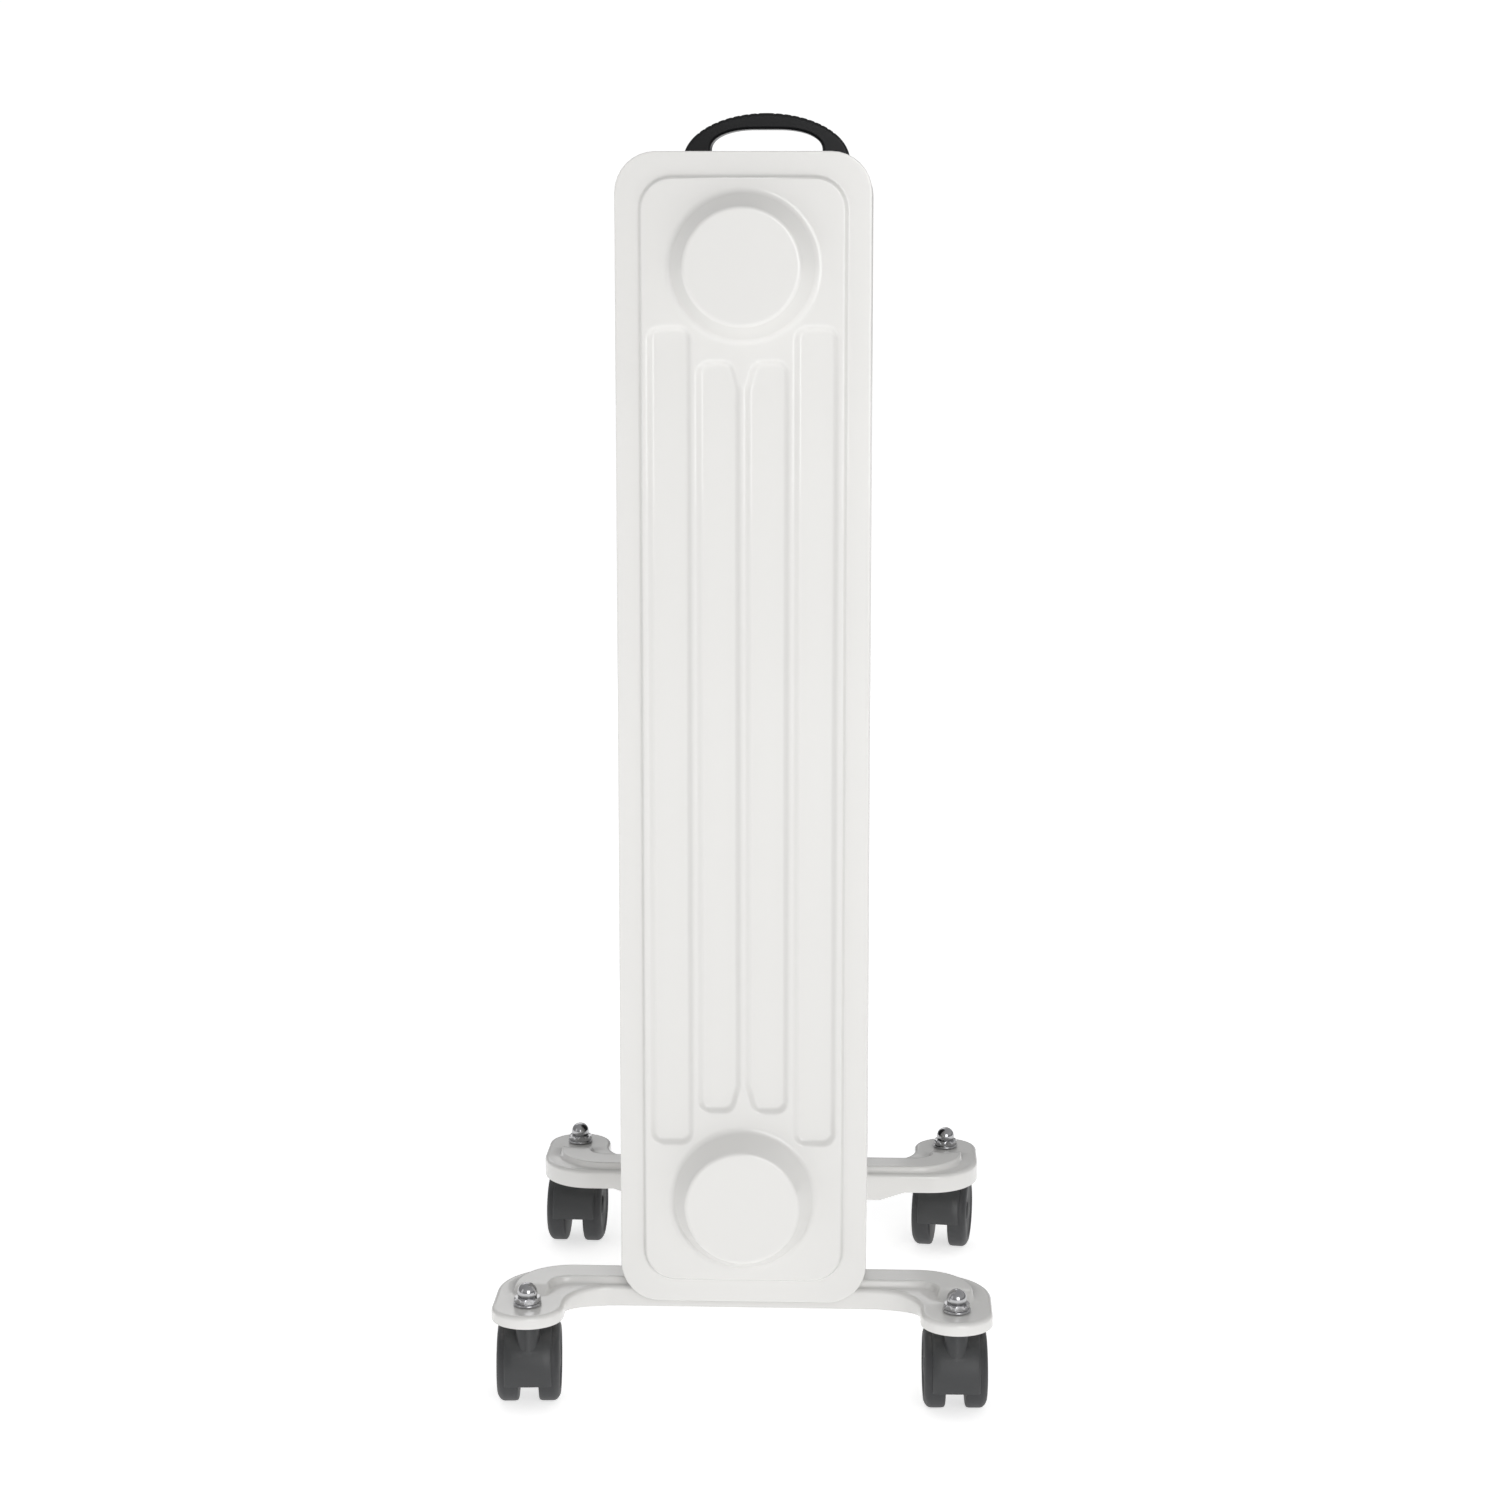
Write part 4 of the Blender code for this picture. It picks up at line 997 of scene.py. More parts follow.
@dataclass
class FinStack:
    """The seven pressed fins; heights of the pressing are counted from the fin's middle plane.

    Attributes:
        finish: The enamel.
        count: Number of fins.
        half_width: Half the fin's width.
        height: The fin's height.
        corner: Radius of its corners.
        back: Half the weld gap between two shells.
        flange: Height of the flange.
        sheet: Thickness of the sheet.
        edge_roll: Radius of the sheet's outer edge.
        field_inset: From the fin's edge to the middle of the field's wall.
        field_run: Width of that wall.
        field: Height of the field.
        field_corner: Radius of the field's corners.
        boss_inset: From the fin's top and bottom to its bosses.
        boss_base: Radius of a boss at its foot.
        boss_disc: Radius of its flat disc.
        boss: Height of the disc.
        port: Radius of the port into the header.
        valley_half: Half the width of a valley.
        valley_pitch: From valley to valley.
        valley_floor: Height of a valley's floor.
        valley_run: Width of a valley's wall.
        valley_corner: Radius of a valley's corners.
        valley_insets: From the fin's top and bottom to the inner and the outer valleys.
        clip: How far the corner of an inner valley is cut, across and along.
    """

    finish: bpy.types.Material
    count: int = 7
    half_width: float = 60.0 * MM
    height: float = 557.0 * MM
    corner: float = 19.0 * MM
    back: float = 0.15 * MM
    flange: float = 1.15 * MM
    sheet: float = 1.0 * MM
    edge_roll: float = 0.5 * MM
    field_inset: float = 11.8 * MM
    field_run: float = 2.0 * MM
    field: float = 4.0 * MM
    field_corner: float = 15.0 * MM
    boss_inset: float = 53.0 * MM
    boss_base: float = 34.5 * MM
    boss_disc: float = 27.5 * MM
    boss: float = 17.85 * MM
    port: float = 16.0 * MM
    valley_half: float = 9.25 * MM
    valley_pitch: float = 23.0 * MM
    valley_floor: float = 1.9 * MM
    valley_run: float = 3.4 * MM
    valley_corner: float = 5.0 * MM
    valley_insets: Point2 = (97.5 * MM, 81.5 * MM)
    clip: Point2 = (3.4 * MM, 12.6 * MM)

    def __post_init__(self) -> None:
        """Works out the boss profile and the valleys."""
        line = [(0.0, self.boss), (self.boss_disc, self.boss), (self.boss_base, self.field),
                (self.boss_base + 8.0 * MM, self.field)]
        self.profile = filleted(line, [0.0, 2.2 * MM, 3.6 * MM, 0.0], 5, closed=False)
        self.valleys = [self.valley(side, place) for side in Side for place in (0, 1)]
        self.headers = (self.boss_inset, self.height - self.boss_inset)

    def valley(self, side: Side, place: int) -> tuple[Outline, list[float]]:
        """The sharp corners of a valley and their radii; place 0 is the inner one."""
        centre = (place + 0.5) * self.valley_pitch
        near, far = centre - self.valley_half, centre + self.valley_half
        low, high = self.valley_insets[place], self.height - self.valley_insets[place]
        if place:
            corners = [(near, low), (far, low), (far, high), (near, high)]
            radii = [self.valley_corner] * 4
        else:
            cut, rise = self.clip
            corners = [(near + cut, low), (far, low), (far, high), (near + cut, high), (near, high - rise),
                       (near, low + rise)]
            radii = [self.valley_corner] * 4 + [2.0 * self.valley_corner] * 2
        if side is Side.LEFT:
            corners = [(-x, z) for x, z in corners[::-1]]
            radii = radii[::-1]
        return corners, radii

    def surface(self, x: np.ndarray, z: np.ndarray) -> np.ndarray:
        """Height of the outer surface over the middle plane."""
        half = self.height / 2.0
        edge = box_depth(x, z - half, (self.half_width, half), self.corner)
        inset_by = self.field_inset
        field = box_depth(x, z - half, (self.half_width - inset_by, half - inset_by), self.field_corner)
        height = self.flange - roll_drop(edge, self.edge_roll)
        height += (self.field - self.flange) * smooth_step(field / self.field_run + 0.5)
        radii, levels = zip(*self.profile)
        for header in self.headers:
            height = np.maximum(height, np.interp(np.hypot(x, z - header), radii, levels, right=0.0))
        depth = self.field - self.valley_floor
        for corners, rounds in self.valleys:
            inside = depth_inside(x, z, filleted(corners, rounds, 6))
            height -= depth * smooth_step(inside / self.valley_run + 0.5)
        return height

    def inner(self, x: np.ndarray, z: np.ndarray) -> np.ndarray:
        """Height of the inner surface over the middle plane."""
        return np.maximum(self.surface(x, z) - self.sheet, self.back)

    def shell(self, steps: int, ports: Sequence[float]) -> bmesh.types.BMesh:
        """One pressed shell as a closed sheet, seen from its outer side.

        Args:
            steps: Segments round a boss.
            ports: Radius of the port in the lower and the upper boss; 0 leaves it shut.

        Returns:
            The shell, with the fin's width on X, its height on Y and the pressing on Z.
        """
        half = self.height / 2.0
        middle = (0.0, half)

        def frame_loop(depth: float, corner: float) -> Outline:
            half_size = (self.half_width - depth, half - depth)
            return dense(round_rectangle(half_size, corner, 8, middle), 30.0 * MM)

        pressing = PressedSheet(frame_loop(0.0, self.corner), self.surface)
        for depth in (0.08, 0.25, 0.5, 1.2):
            pressing.add(frame_loop(depth * MM, self.corner - depth * MM))
        for share in (-0.75, -0.5, -0.35, -0.2, 0.0, 0.2, 0.35, 0.5, 0.75):
            depth = share * self.field_run
            pressing.add(frame_loop(self.field_inset + depth, self.field_corner - depth))
        rings = sorted({round(radius, 6) for radius, _ in self.profile[1:-1]})
        rings = [rings[0] - 0.5 * MM, *rings, rings[-1] + 0.6 * MM]
        holes = []
        for header, port in zip(self.headers, ports):
            for radius in rings:
                pressing.add(arc((0.0, header), radius, 0.0, 360.0, steps)[:-1])
            if port > 0.0:
                hole = arc((0.0, header), port, 0.0, 360.0, 24)[:-1]
                pressing.add(hole)
                holes.append(hole)
        for corners, rounds in self.valleys:
            for share in (-0.68, -0.5, -0.38, -0.25, -0.12, 0.0, 0.12, 0.25, 0.38, 0.5, 0.68):
                pressing.add(dense(inset(corners, rounds, share * self.valley_run, 5), 40.0 * MM))
        surface, _ = pressing.build(holes)
        return backed(surface, self.inner)

    def build(self) -> None:
        """Places all the shells and the weld beads between the fins."""
        upright = Matrix.Rotation(math.radians(90.0), 4, "X")
        about = Matrix.Rotation(math.radians(180.0), 4, "Z")
        shells = {"end": self.shell(96, (0.0, 0.0)), "inner": self.shell(48, (self.port, self.port)),
                  "service": self.shell(48, (self.port, 5.0 * MM))}
        for solid in shells.values():
            moved(solid, upright)
        for number in range(1, self.count + 1):
            front = "end" if number == 1 else "inner"
            rear = "service" if number == self.count else "inner"
            for face, kind, turn in (("front", front, Matrix()), ("rear", rear, about)):
                node = f"fin_{number}_{face}_shell"
                low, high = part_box(node)
                middle = high.y + self.back if face == "front" else low.y - self.back
                mesh = to_mesh(node, shells[kind].copy())
                mesh.transform(Matrix.Translation((0.0, middle, low.z)) @ turn)
                piece(f"{node}_pressing", mesh, ROOT, self.finish, [node])
        for solid in shells.values():
            solid.free()
        self.welds()

    def welds(self) -> None:
        """The bead of weld round each joint of the two headers."""
        first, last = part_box("fin_1_rear_shell"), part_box(f"fin_{self.count}_front_shell")
        pitch = (last[1].y + self.back - (first[0].y - self.back)) / (self.count - 1)
        for name, header in zip(("lower", "upper"), self.headers):
            rings = grown(name, weld_tree(), {
                "Radius": self.boss_disc - 0.2 * MM, "Bead": 1.1 * MM, "Seams": self.count - 1, "Pitch": pitch,
                "Ripple": 0.7 * MM, "Finish": self.finish})
            mesh = to_mesh(name, rings)
            mesh.transform(Matrix.Translation((0.0, first[1].y, first[0].z + header)))
            piece(f"{name}_header_welds", mesh, ROOT, self.finish, sharp=70.0)


# ---------------------------------------------------------------- brackets

def tube(path: Sequence[Vector], radii: Sequence[float], side: Vector, steps: int) -> bmesh.types.BMesh:
    """A round bar along a path that stays in a plane.

    Args:
        path: The points of its centre-line.
        radii: The radius at each point.
        side: The normal of the path's plane.
        steps: Segments round the bar.

    Returns:
        The closed solid.
    """
    rings = []
    for i, (point, radius) in enumerate(zip(path, radii)):
        before, after = path[max(i - 1, 0)], path[min(i + 1, len(path) - 1)]
        across = (after - before).normalized().cross(side).normalized()
        rings.append([point + side * a + across * b for a, b in arc((0.0, 0.0), radius, 0.0, 360.0, steps)[:-1]])
    return lofted(rings)


@dataclass
class Bracket:
    """A pressed caster bracket with its cradle, U-bolt and wing nuts.

    Lengths are in the bracket's own frame: X along it, -Y towards its casters, Z from the fins' lower edge.

    Attributes:
        end: Which end of the radiator it is at.
        paint: The enamel.
        zinc: The finish of the U-bolt.
        plateau: Height of the raised rib.
        ledge: Height of the flat beside it and of the pads.
        edge_roll: Radius of the pressed rim.
        rib_half: Half the width of the rib.
        rib_run: Width of the rib's wall.
        waist_half: Half the width of the waist.
        shoulder: Where the outer sweep starts, and where it becomes straight.
        sweep_x: Where the inner sweep starts.
        bolt: Where a caster's nut sits, across and out.
        pad_end: Radius of the pad's end.
        skirt: Height of the skirt's lower edge.
        pad_lip: Height of that edge round the pads.
        apron: Height of the apron's lower edge.
        apron_half: Half the length of the apron.
        sheet: Thickness of the sheet.
        cradle_r: Radius of the strap under the lower header.
        header: Height of the lower header's axis.
        bolt_r: Radius of the U-bolt's bend.
        rod: Radius of its rod.
    """

    end: End
    paint: bpy.types.Material
    zinc: bpy.types.Material
    plateau: float = 8.0 * MM
    ledge: float = 4.6 * MM
    edge_roll: float = 2.2 * MM
    rib_half: float = 8.6 * MM
    rib_run: float = 2.2 * MM
    waist_half: float = 12.5 * MM
    shoulder: Point2 = (94.0 * MM, -18.0 * MM)
    sweep_x: float = 64.0 * MM
    bolt: Point2 = (104.0 * MM, 40.0 * MM)
    pad_end: float = 17.5 * MM
    skirt: float = -5.5 * MM
    pad_lip: float = -1.5 * MM
    apron: float = -10.0 * MM
    apron_half: float = 80.0 * MM
    sheet: float = 2.0 * MM
    cradle_r: float = 31.9 * MM
    header: float = 53.0 * MM
    bolt_r: float = 31.3 * MM
    rod: float = 2.9 * MM

    def outline(self, depth: float) -> Outline:
        """The bracket from above, its edge moved inwards by a depth."""
        end_r = self.pad_end - depth
        side = self.bolt[0] + end_r
        half = self.waist_half - depth
        turn_x, turn_y = self.shoulder
        right = [(turn_x, half)]
        for x, y in arc((0.0, 0.0), 1.0, 90.0, 0.0, 16)[1:]:
            right.append((turn_x + (side - turn_x) * x, turn_y + (half - turn_y) * y))
        right += arc((self.bolt[0], -self.bolt[1]), end_r, 0.0, -180.0, 24)
        sweep = self.bolt[0] - self.pad_end - self.sweep_x
        right += arc((self.sweep_x, -self.waist_half - sweep), sweep + depth, 0.0, 90.0, 12)
        return dense(right + [(-x, y) for x, y in right[::-1]], 14.0 * MM)

    def rib_line(self, half: float) -> Outline:
        """The outline of the raised rib at half its width: along the waist and round both shoulders."""
        turn = 18.0 * MM
        x, y = self.bolt[0] - turn, -turn
        low = y - 5.0 * MM
        right = arc((x, y), turn + half, 90.0, 0.0, 14)
        right += arc((self.bolt[0], low), half, 0.0, -180.0, 12)
        right += arc((x, y), turn - half, 0.0, 90.0, 8)
        return dense(right + [(-a, b) for a, b in right[::-1]], 3.5 * MM)

    def surface(self, x: np.ndarray, y: np.ndarray) -> np.ndarray:
        """Height of the upper surface."""
        depth = np.maximum(depth_inside(x, y, self.outline(0.0)), 0.0)
        rib = depth_inside(x, y, self.rib_line(self.rib_half))
        from_bolt = np.hypot(np.abs(x) - self.bolt[0], y + self.bolt[1])
        fade = smooth_step((from_bolt - 11.0 * MM) / (11.0 * MM))
        rise = (self.plateau - self.ledge) * smooth_step(rib / self.rib_run + 0.5) * fade
        return self.ledge + rise - roll_drop(depth, self.edge_roll)

    def lower_edge(self, x: np.ndarray, y: np.ndarray) -> np.ndarray:
        """Height of the lower edge of the skirt."""
        level = np.interp(y, [-self.bolt[1] + 8.0 * MM, -self.waist_half - 1.0 * MM], [self.pad_lip, self.skirt])
        deep = smooth_step((self.apron_half - np.abs(x)) / (7.0 * MM))
        return np.where(y > self.waist_half - 0.05 * MM, level + (self.apron - self.skirt) * deep, level)

    def pressing(self) -> bpy.types.Mesh:
        """The bracket's sheet."""
        sheet = PressedSheet(self.outline(0.0), self.surface)
        for depth in (0.06, 0.25, 0.6, 1.1, 1.7, 2.2, 2.8):
            sheet.add(self.outline(depth * MM))
        for share in (0.5, 0.3, 0.15, 0.0, -0.15, -0.3, -0.5, -0.75):
            sheet.add(self.rib_line(self.rib_half + share * self.rib_run))
        sheet.add(self.rib_line(0.4 * self.rib_half))
        holes = []
        for side in Side:
            holes.append(arc((side.value * self.bolt[0], -self.bolt[1]), 3.4 * MM, 0.0, 360.0, 24)[:-1])
            holes.append(arc((side.value * self.bolt_r, 0.0), 3.4 * MM, 0.0, 360.0, 24)[:-1])
        for hole in holes:
            sheet.add(hole)
        surface, rim = sheet.build(holes)
        hang_walls(surface, rim, self.lower_edge)
        host = carrier("pressing", to_mesh("pressing", surface))
        wall = host.modifiers.new("sheet", "SOLIDIFY")
        wall.thickness = self.sheet
        wall.offset = -1.0
        wall.use_even_offset = True
        wall.use_quality_normals = True
        return baked(host)

    def cradle(self) -> bmesh.types.BMesh:
        """The strap that the lower header rests in."""
        reach, foot, seat = 36.0, 26.0 * MM, self.plateau - 1.0 * MM
        over = arc((0.0, self.header), self.cradle_r, -90.0 - reach, -90.0 + reach, 24)
        under = arc((0.0, self.header), self.cradle_r + self.sheet, -85.0 + reach, -95.0 - reach, 24)
        line = [(-foot, seat), *over, (foot, seat), (foot - self.sheet, seat), *under, (-foot + self.sheet, seat)]
        return prism(line, -7.9 * MM, 7.9 * MM, "Y")

    def u_bolt(self) -> bmesh.types.BMesh:
        """The bent rod over the header, with threads on both legs."""
        thread: list[tuple[float, float]] = []
        for turn in range(14):
            foot = -9.0 * MM + turn * MM
            thread += [(foot, self.rod - 0.35 * MM), (foot + 0.45 * MM, self.rod)]
        leg = [*thread, (5.4 * MM, self.rod), (self.header, self.rod)]
        path = [Vector((self.bolt_r, 0.0, z)) for z, _ in leg]
        bend = arc((0.0, self.header), self.bolt_r, 0.0, 180.0, 40)[1:-1]
        path += [Vector((x, 0.0, z)) for x, z in bend]
        path += [Vector((-self.bolt_r, 0.0, z)) for z, _ in leg[::-1]]
        radii = [r for _, r in leg] + [self.rod] * len(bend) + [r for _, r in leg[::-1]]
        return tube(path, radii, Vector((0.0, 1.0, 0.0)), 20)

    def wing_nut(self) -> bmesh.types.BMesh:
        """A washer and a wing nut under the rib, their seat at the origin."""
        bore = self.rod + 0.15 * MM
        washer = turned([(bore, 0.0), *in_mm([(6.2, 0.0), (6.2, -1.1)]), (bore, -1.1 * MM)], 32)
        cone = in_mm([(4.9, -1.3), (4.9, -2.4), (4.3, -6.2), (3.9, -6.6)])
        hub = turned([(bore, -1.3 * MM), *cone, (bore, -6.6 * MM)], 32)
        wings = []
        for side in (-1.0, 1.0):
            line = [(4.2, -1.8), (5.8, -2.2), (9.6, -5.2), (10.6, -7.4), (10.2, -9.0), (8.6, -9.6), (6.8, -8.4),
                    (4.0, -5.6)]
            corners = [(side * x * MM, z * MM) for x, z in line]
            wings.append(prism(corners, -0.9 * MM, 0.9 * MM, "Y"))
        return joined([washer, hub, *wings])

    def build(self) -> None:
        """Builds the bracket in its place."""
        name = self.end.value
        low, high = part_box(f"{name}_bracket")
        near = self.end is End.NEAR
        spot = Vector((0.0, high.y - self.waist_half if near else low.y + self.waist_half,
                       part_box("fin_1_front_shell")[0].z))
        place = Matrix.Translation(spot) @ Matrix.Rotation(0.0 if near else math.pi, 4, "Z")
        sheet = self.pressing()
        sheet.transform(place)
        piece(f"{name}_bracket_pressing", sheet, ROOT, self.paint, [f"{name}_bracket"], sharp=48.0)
        strap = piece(f"{name}_header_cradle", to_mesh("cradle", moved(self.cradle(), place)), ROOT, self.paint)
        soften(strap, 0.5 * MM)
        rod = to_mesh("rod", moved(self.u_bolt(), place))
        piece(f"{name}_threaded_u_bolt", rod, ROOT, self.zinc, [f"{name}_u_bolt"], sharp=60.0)
        under = self.plateau - self.sheet - 0.3 * MM
        nuts = [moved(self.wing_nut(), place @ Matrix.Translation((side.value * self.bolt_r, 0.0, under)))
                for side in Side]
        wings = piece(f"{name}_wing_nuts", to_mesh("nuts", joined(nuts)), ROOT, self.zinc)
        soften(wings, 0.25 * MM, 2)


# ---------------------------------------------------------------- casters

@dataclass
class Caster:
    """A hooded twin-wheel caster; in its own frame it swivels on Z and its wheels trail towards +Y.

    Attributes:
        name: Its place, such as near_left.
        hood_finish: Finish of the hood.
        wheel_finish: Finish of the wheels.
        chrome: Finish of the dome nut.
        zinc: Finish of the axle and the kingpin.
        wheel_r: Radius of a wheel.
        trail: From the swivel axis to the axle.
        hood_r: Outer radius of the hood.
        hood_half: Half its width.
        hood_ends: Angles about the axle where the hood starts and ends, in degrees.
        well_r: Radius of the space for a wheel.
        web_half: Half the thickness of the web between the wheels.
        neck_r: Radius of the neck.
        neck_top: Height of its upper end.
        chamfer: Size of the neck's chamfer and of its foot's step.
        axle_hole: Radius of the hole for the axle.
        king_hole: Radius of the hole for the kingpin.
        washer: Thickness of the nut's washer.
        nut_flat: Half the nut's size across its flats.
        dome_r: Radius of the nut's dome.
        dome_up: Height of the dome's middle over the washer.
    """

    name: str
    hood_finish: bpy.types.Material
    wheel_finish: bpy.types.Material
    chrome: bpy.types.Material
    zinc: bpy.types.Material
    wheel_r: float = 20.0 * MM
    trail: float = 13.0 * MM
    hood_r: float = 21.6 * MM
    hood_half: float = 11.5 * MM
    hood_ends: Point2 = (198.0, -5.0)
    well_r: float = 20.5 * MM
    web_half: float = 4.6 * MM
    neck_r: float = 5.5 * MM
    neck_top: float = 48.0 * MM
    chamfer: float = 0.4 * MM
    axle_hole: float = 2.9 * MM
    king_hole: float = 3.55 * MM
    washer: float = 1.3 * MM
    nut_flat: float = 5.9 * MM
    dome_r: float = 4.9 * MM
    dome_up: float = 4.7 * MM

    def frame(self) -> Matrix:
        """The caster's own frame at rest."""
        spot = joint(f"{self.name}_swivel")["pos_m"]
        axle = joint(f"{self.name}_outer_wheel_spin")["axis"]
        turn = Matrix.Rotation(math.atan2(axle[1], axle[0]), 4, "Z")
        return Matrix.Translation((spot[0], spot[1], 0.0)) @ turn

    def hood(self) -> bpy.types.Mesh:
        """The hood, the web between the wheels and the neck, as one moulding."""
        half, top, low = self.hood_half, self.hood_r, self.well_r - 0.15 * MM
        section = [(-half, low), (-half, top - 0.9 * MM), (-half + 0.25 * MM, top - 0.55 * MM),
                   (-half + 0.8 * MM, top - 0.3 * MM), (-half * 0.6, top - 0.1 * MM), (0.0, top)]
        section += [(-x, r) for x, r in section[-2::-1]]
        rings = []
        first, last = self.hood_ends
        for angle in np.linspace(math.radians(first), math.radians(last), 57):
            rings.append([(x, self.trail + r * math.cos(angle), self.wheel_r + r * math.sin(angle))
                          for x, r in section])
        axle = (self.trail, self.wheel_r)
        web = arc(axle, self.hood_r - 0.4 * MM, first - 1.5, last + 1.5, 40)
        web += arc(axle, 6.5 * MM, -60.0, -130.0, 8)
        wide, edge = self.neck_r + self.chamfer, self.chamfer
        neck = turned([(0.0, 30.0 * MM), (wide, 30.0 * MM), (wide, 42.4 * MM), (self.neck_r, 43.4 * MM),
                       (self.neck_r, self.neck_top - edge), (self.neck_r - edge, self.neck_top),
                       (0.0, self.neck_top)], 48)
        wells = []
        for side in (-1.0, 1.0):
            well = cylinder(self.well_r, self.web_half, self.hood_half + MM, 96)
            wells.append(moved(well, stood((0.0, *axle), side * QUARTER, "Y")))
        axle_hole = cylinder(self.axle_hole, -12.0 * MM, 12.0 * MM, 24)
        moved(axle_hole, stood((0.0, *axle), QUARTER, "Y"))
        king_hole = cylinder(self.king_hole, 30.6 * MM, 55.0 * MM, 24)
        web_solid = prism(web, -self.web_half - 0.3 * MM, self.web_half + 0.3 * MM, "X")
        return combined("hood", lofted(rings), [web_solid, neck], [*wells, axle_hole, king_hole])

    def wheel(self, side: float) -> bmesh.types.BMesh:
        """A wheel on one side of the web, with a hub cap, a dished face and a crowned tread."""
        profile = [(0.0, 15.4), (2.6, 15.35), (4.2, 15.0), (4.9, 14.4), (5.2, 13.8), (5.8, 13.6), (6.6, 13.7),
                   (7.2, 14.0), (13.6, 14.4), (14.4, 14.6), (15.0, 15.05), (15.8, 15.35), (16.8, 15.3), (17.9, 14.8),
                   (18.8, 14.2), (19.5, 13.4), (19.85, 12.7), (20.0, 11.8), (20.0, 7.0), (19.9, 6.1), (19.6, 5.4),
                   (19.0, 5.05), (16.5, 5.0), (2.68, 5.0), (2.68, 12.0), (0.0, 12.0)]
        return moved(spun(profile, 72), stood((0.0, self.trail, self.wheel_r), side * QUARTER, "Y"))

    def dome_nut(self) -> bmesh.types.BMesh:
        """A hexagon nut with a domed cap, its seat at the origin."""
        rings = []
        for z, limit in in_mm([(0.0, 6.1), (0.35, 6.5), (2.2, 6.5), (2.7, 6.0)]):
            ring = []
            for step in range(72):
                angle = 2.0 * math.pi * step / 72.0
                away = (angle % (math.pi / 3.0)) - math.pi / 6.0
                radius = min(self.nut_flat / math.cos(away), limit)
                ring.append((radius * math.cos(angle), radius * math.sin(angle), z))
            rings.append(ring)
        sides = [(4.5 * MM, 2.8 * MM)]
        for angle in np.radians(np.linspace(-22.0, 88.0, 24)):
            sides.append((self.dome_r * math.cos(angle), self.dome_up + self.dome_r * math.sin(angle)))
        for radius, z in sides:
            rings.append([(x, y, z) for x, y in arc((0.0, 0.0), radius, 0.0, 360.0, 72)[:-1]])
        return lofted(rings)

    def build(self) -> None:
        """Builds the caster in its place."""
        place = self.frame()
        hood = self.hood()
        hood.transform(place)
        cover = piece(f"{self.name}_hood", hood, f"{self.name}_caster", self.hood_finish,
                      [f"{self.name}_caster_housing"], sharp=32.0)
        soften(cover, 0.3 * MM, 2, 50.0)
        for which, side in (("outer", 1.0), ("inner", -1.0)):
            mesh = to_mesh("wheel", moved(self.wheel(side), place))
            body = f"{self.name}_wheel_{which}"
            piece(f"{self.name}_{which}_wheel_disc", mesh, body, self.wheel_finish, [body], sharp=50.0)
        low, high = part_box(f"{self.name}_dome_nut")
        centre = Vector(((low.x + high.x) / 2.0, (low.y + high.y) / 2.0, low.z))
        washer = spun([(3.4, 0.0), (6.5, 0.0), (6.8, 0.3), (6.8, 1.0), (6.5, 1.3), (3.4, 1.3)], 64)
        mesh = to_mesh("washer", moved(washer, Matrix.Translation(centre)))
        piece(f"{self.name}_nut_washer", mesh, ROOT, self.chrome, sharp=60.0)
        seat = centre + Vector((0.0, 0.0, self.washer + 0.02 * MM))
        turn = Matrix.Rotation(math.radians(17.0), 4, "Z")
        mesh = to_mesh("nut", moved(self.dome_nut(), Matrix.Translation(seat) @ turn))
        piece(f"{self.name}_cap_nut", mesh, ROOT, self.chrome, [f"{self.name}_dome_nut"], sharp=28.0)
        carried(f"{self.name}_axle", self.zinc)
        carried(f"{self.name}_kingpin", self.zinc)


# ---------------------------------------------------------------- control end

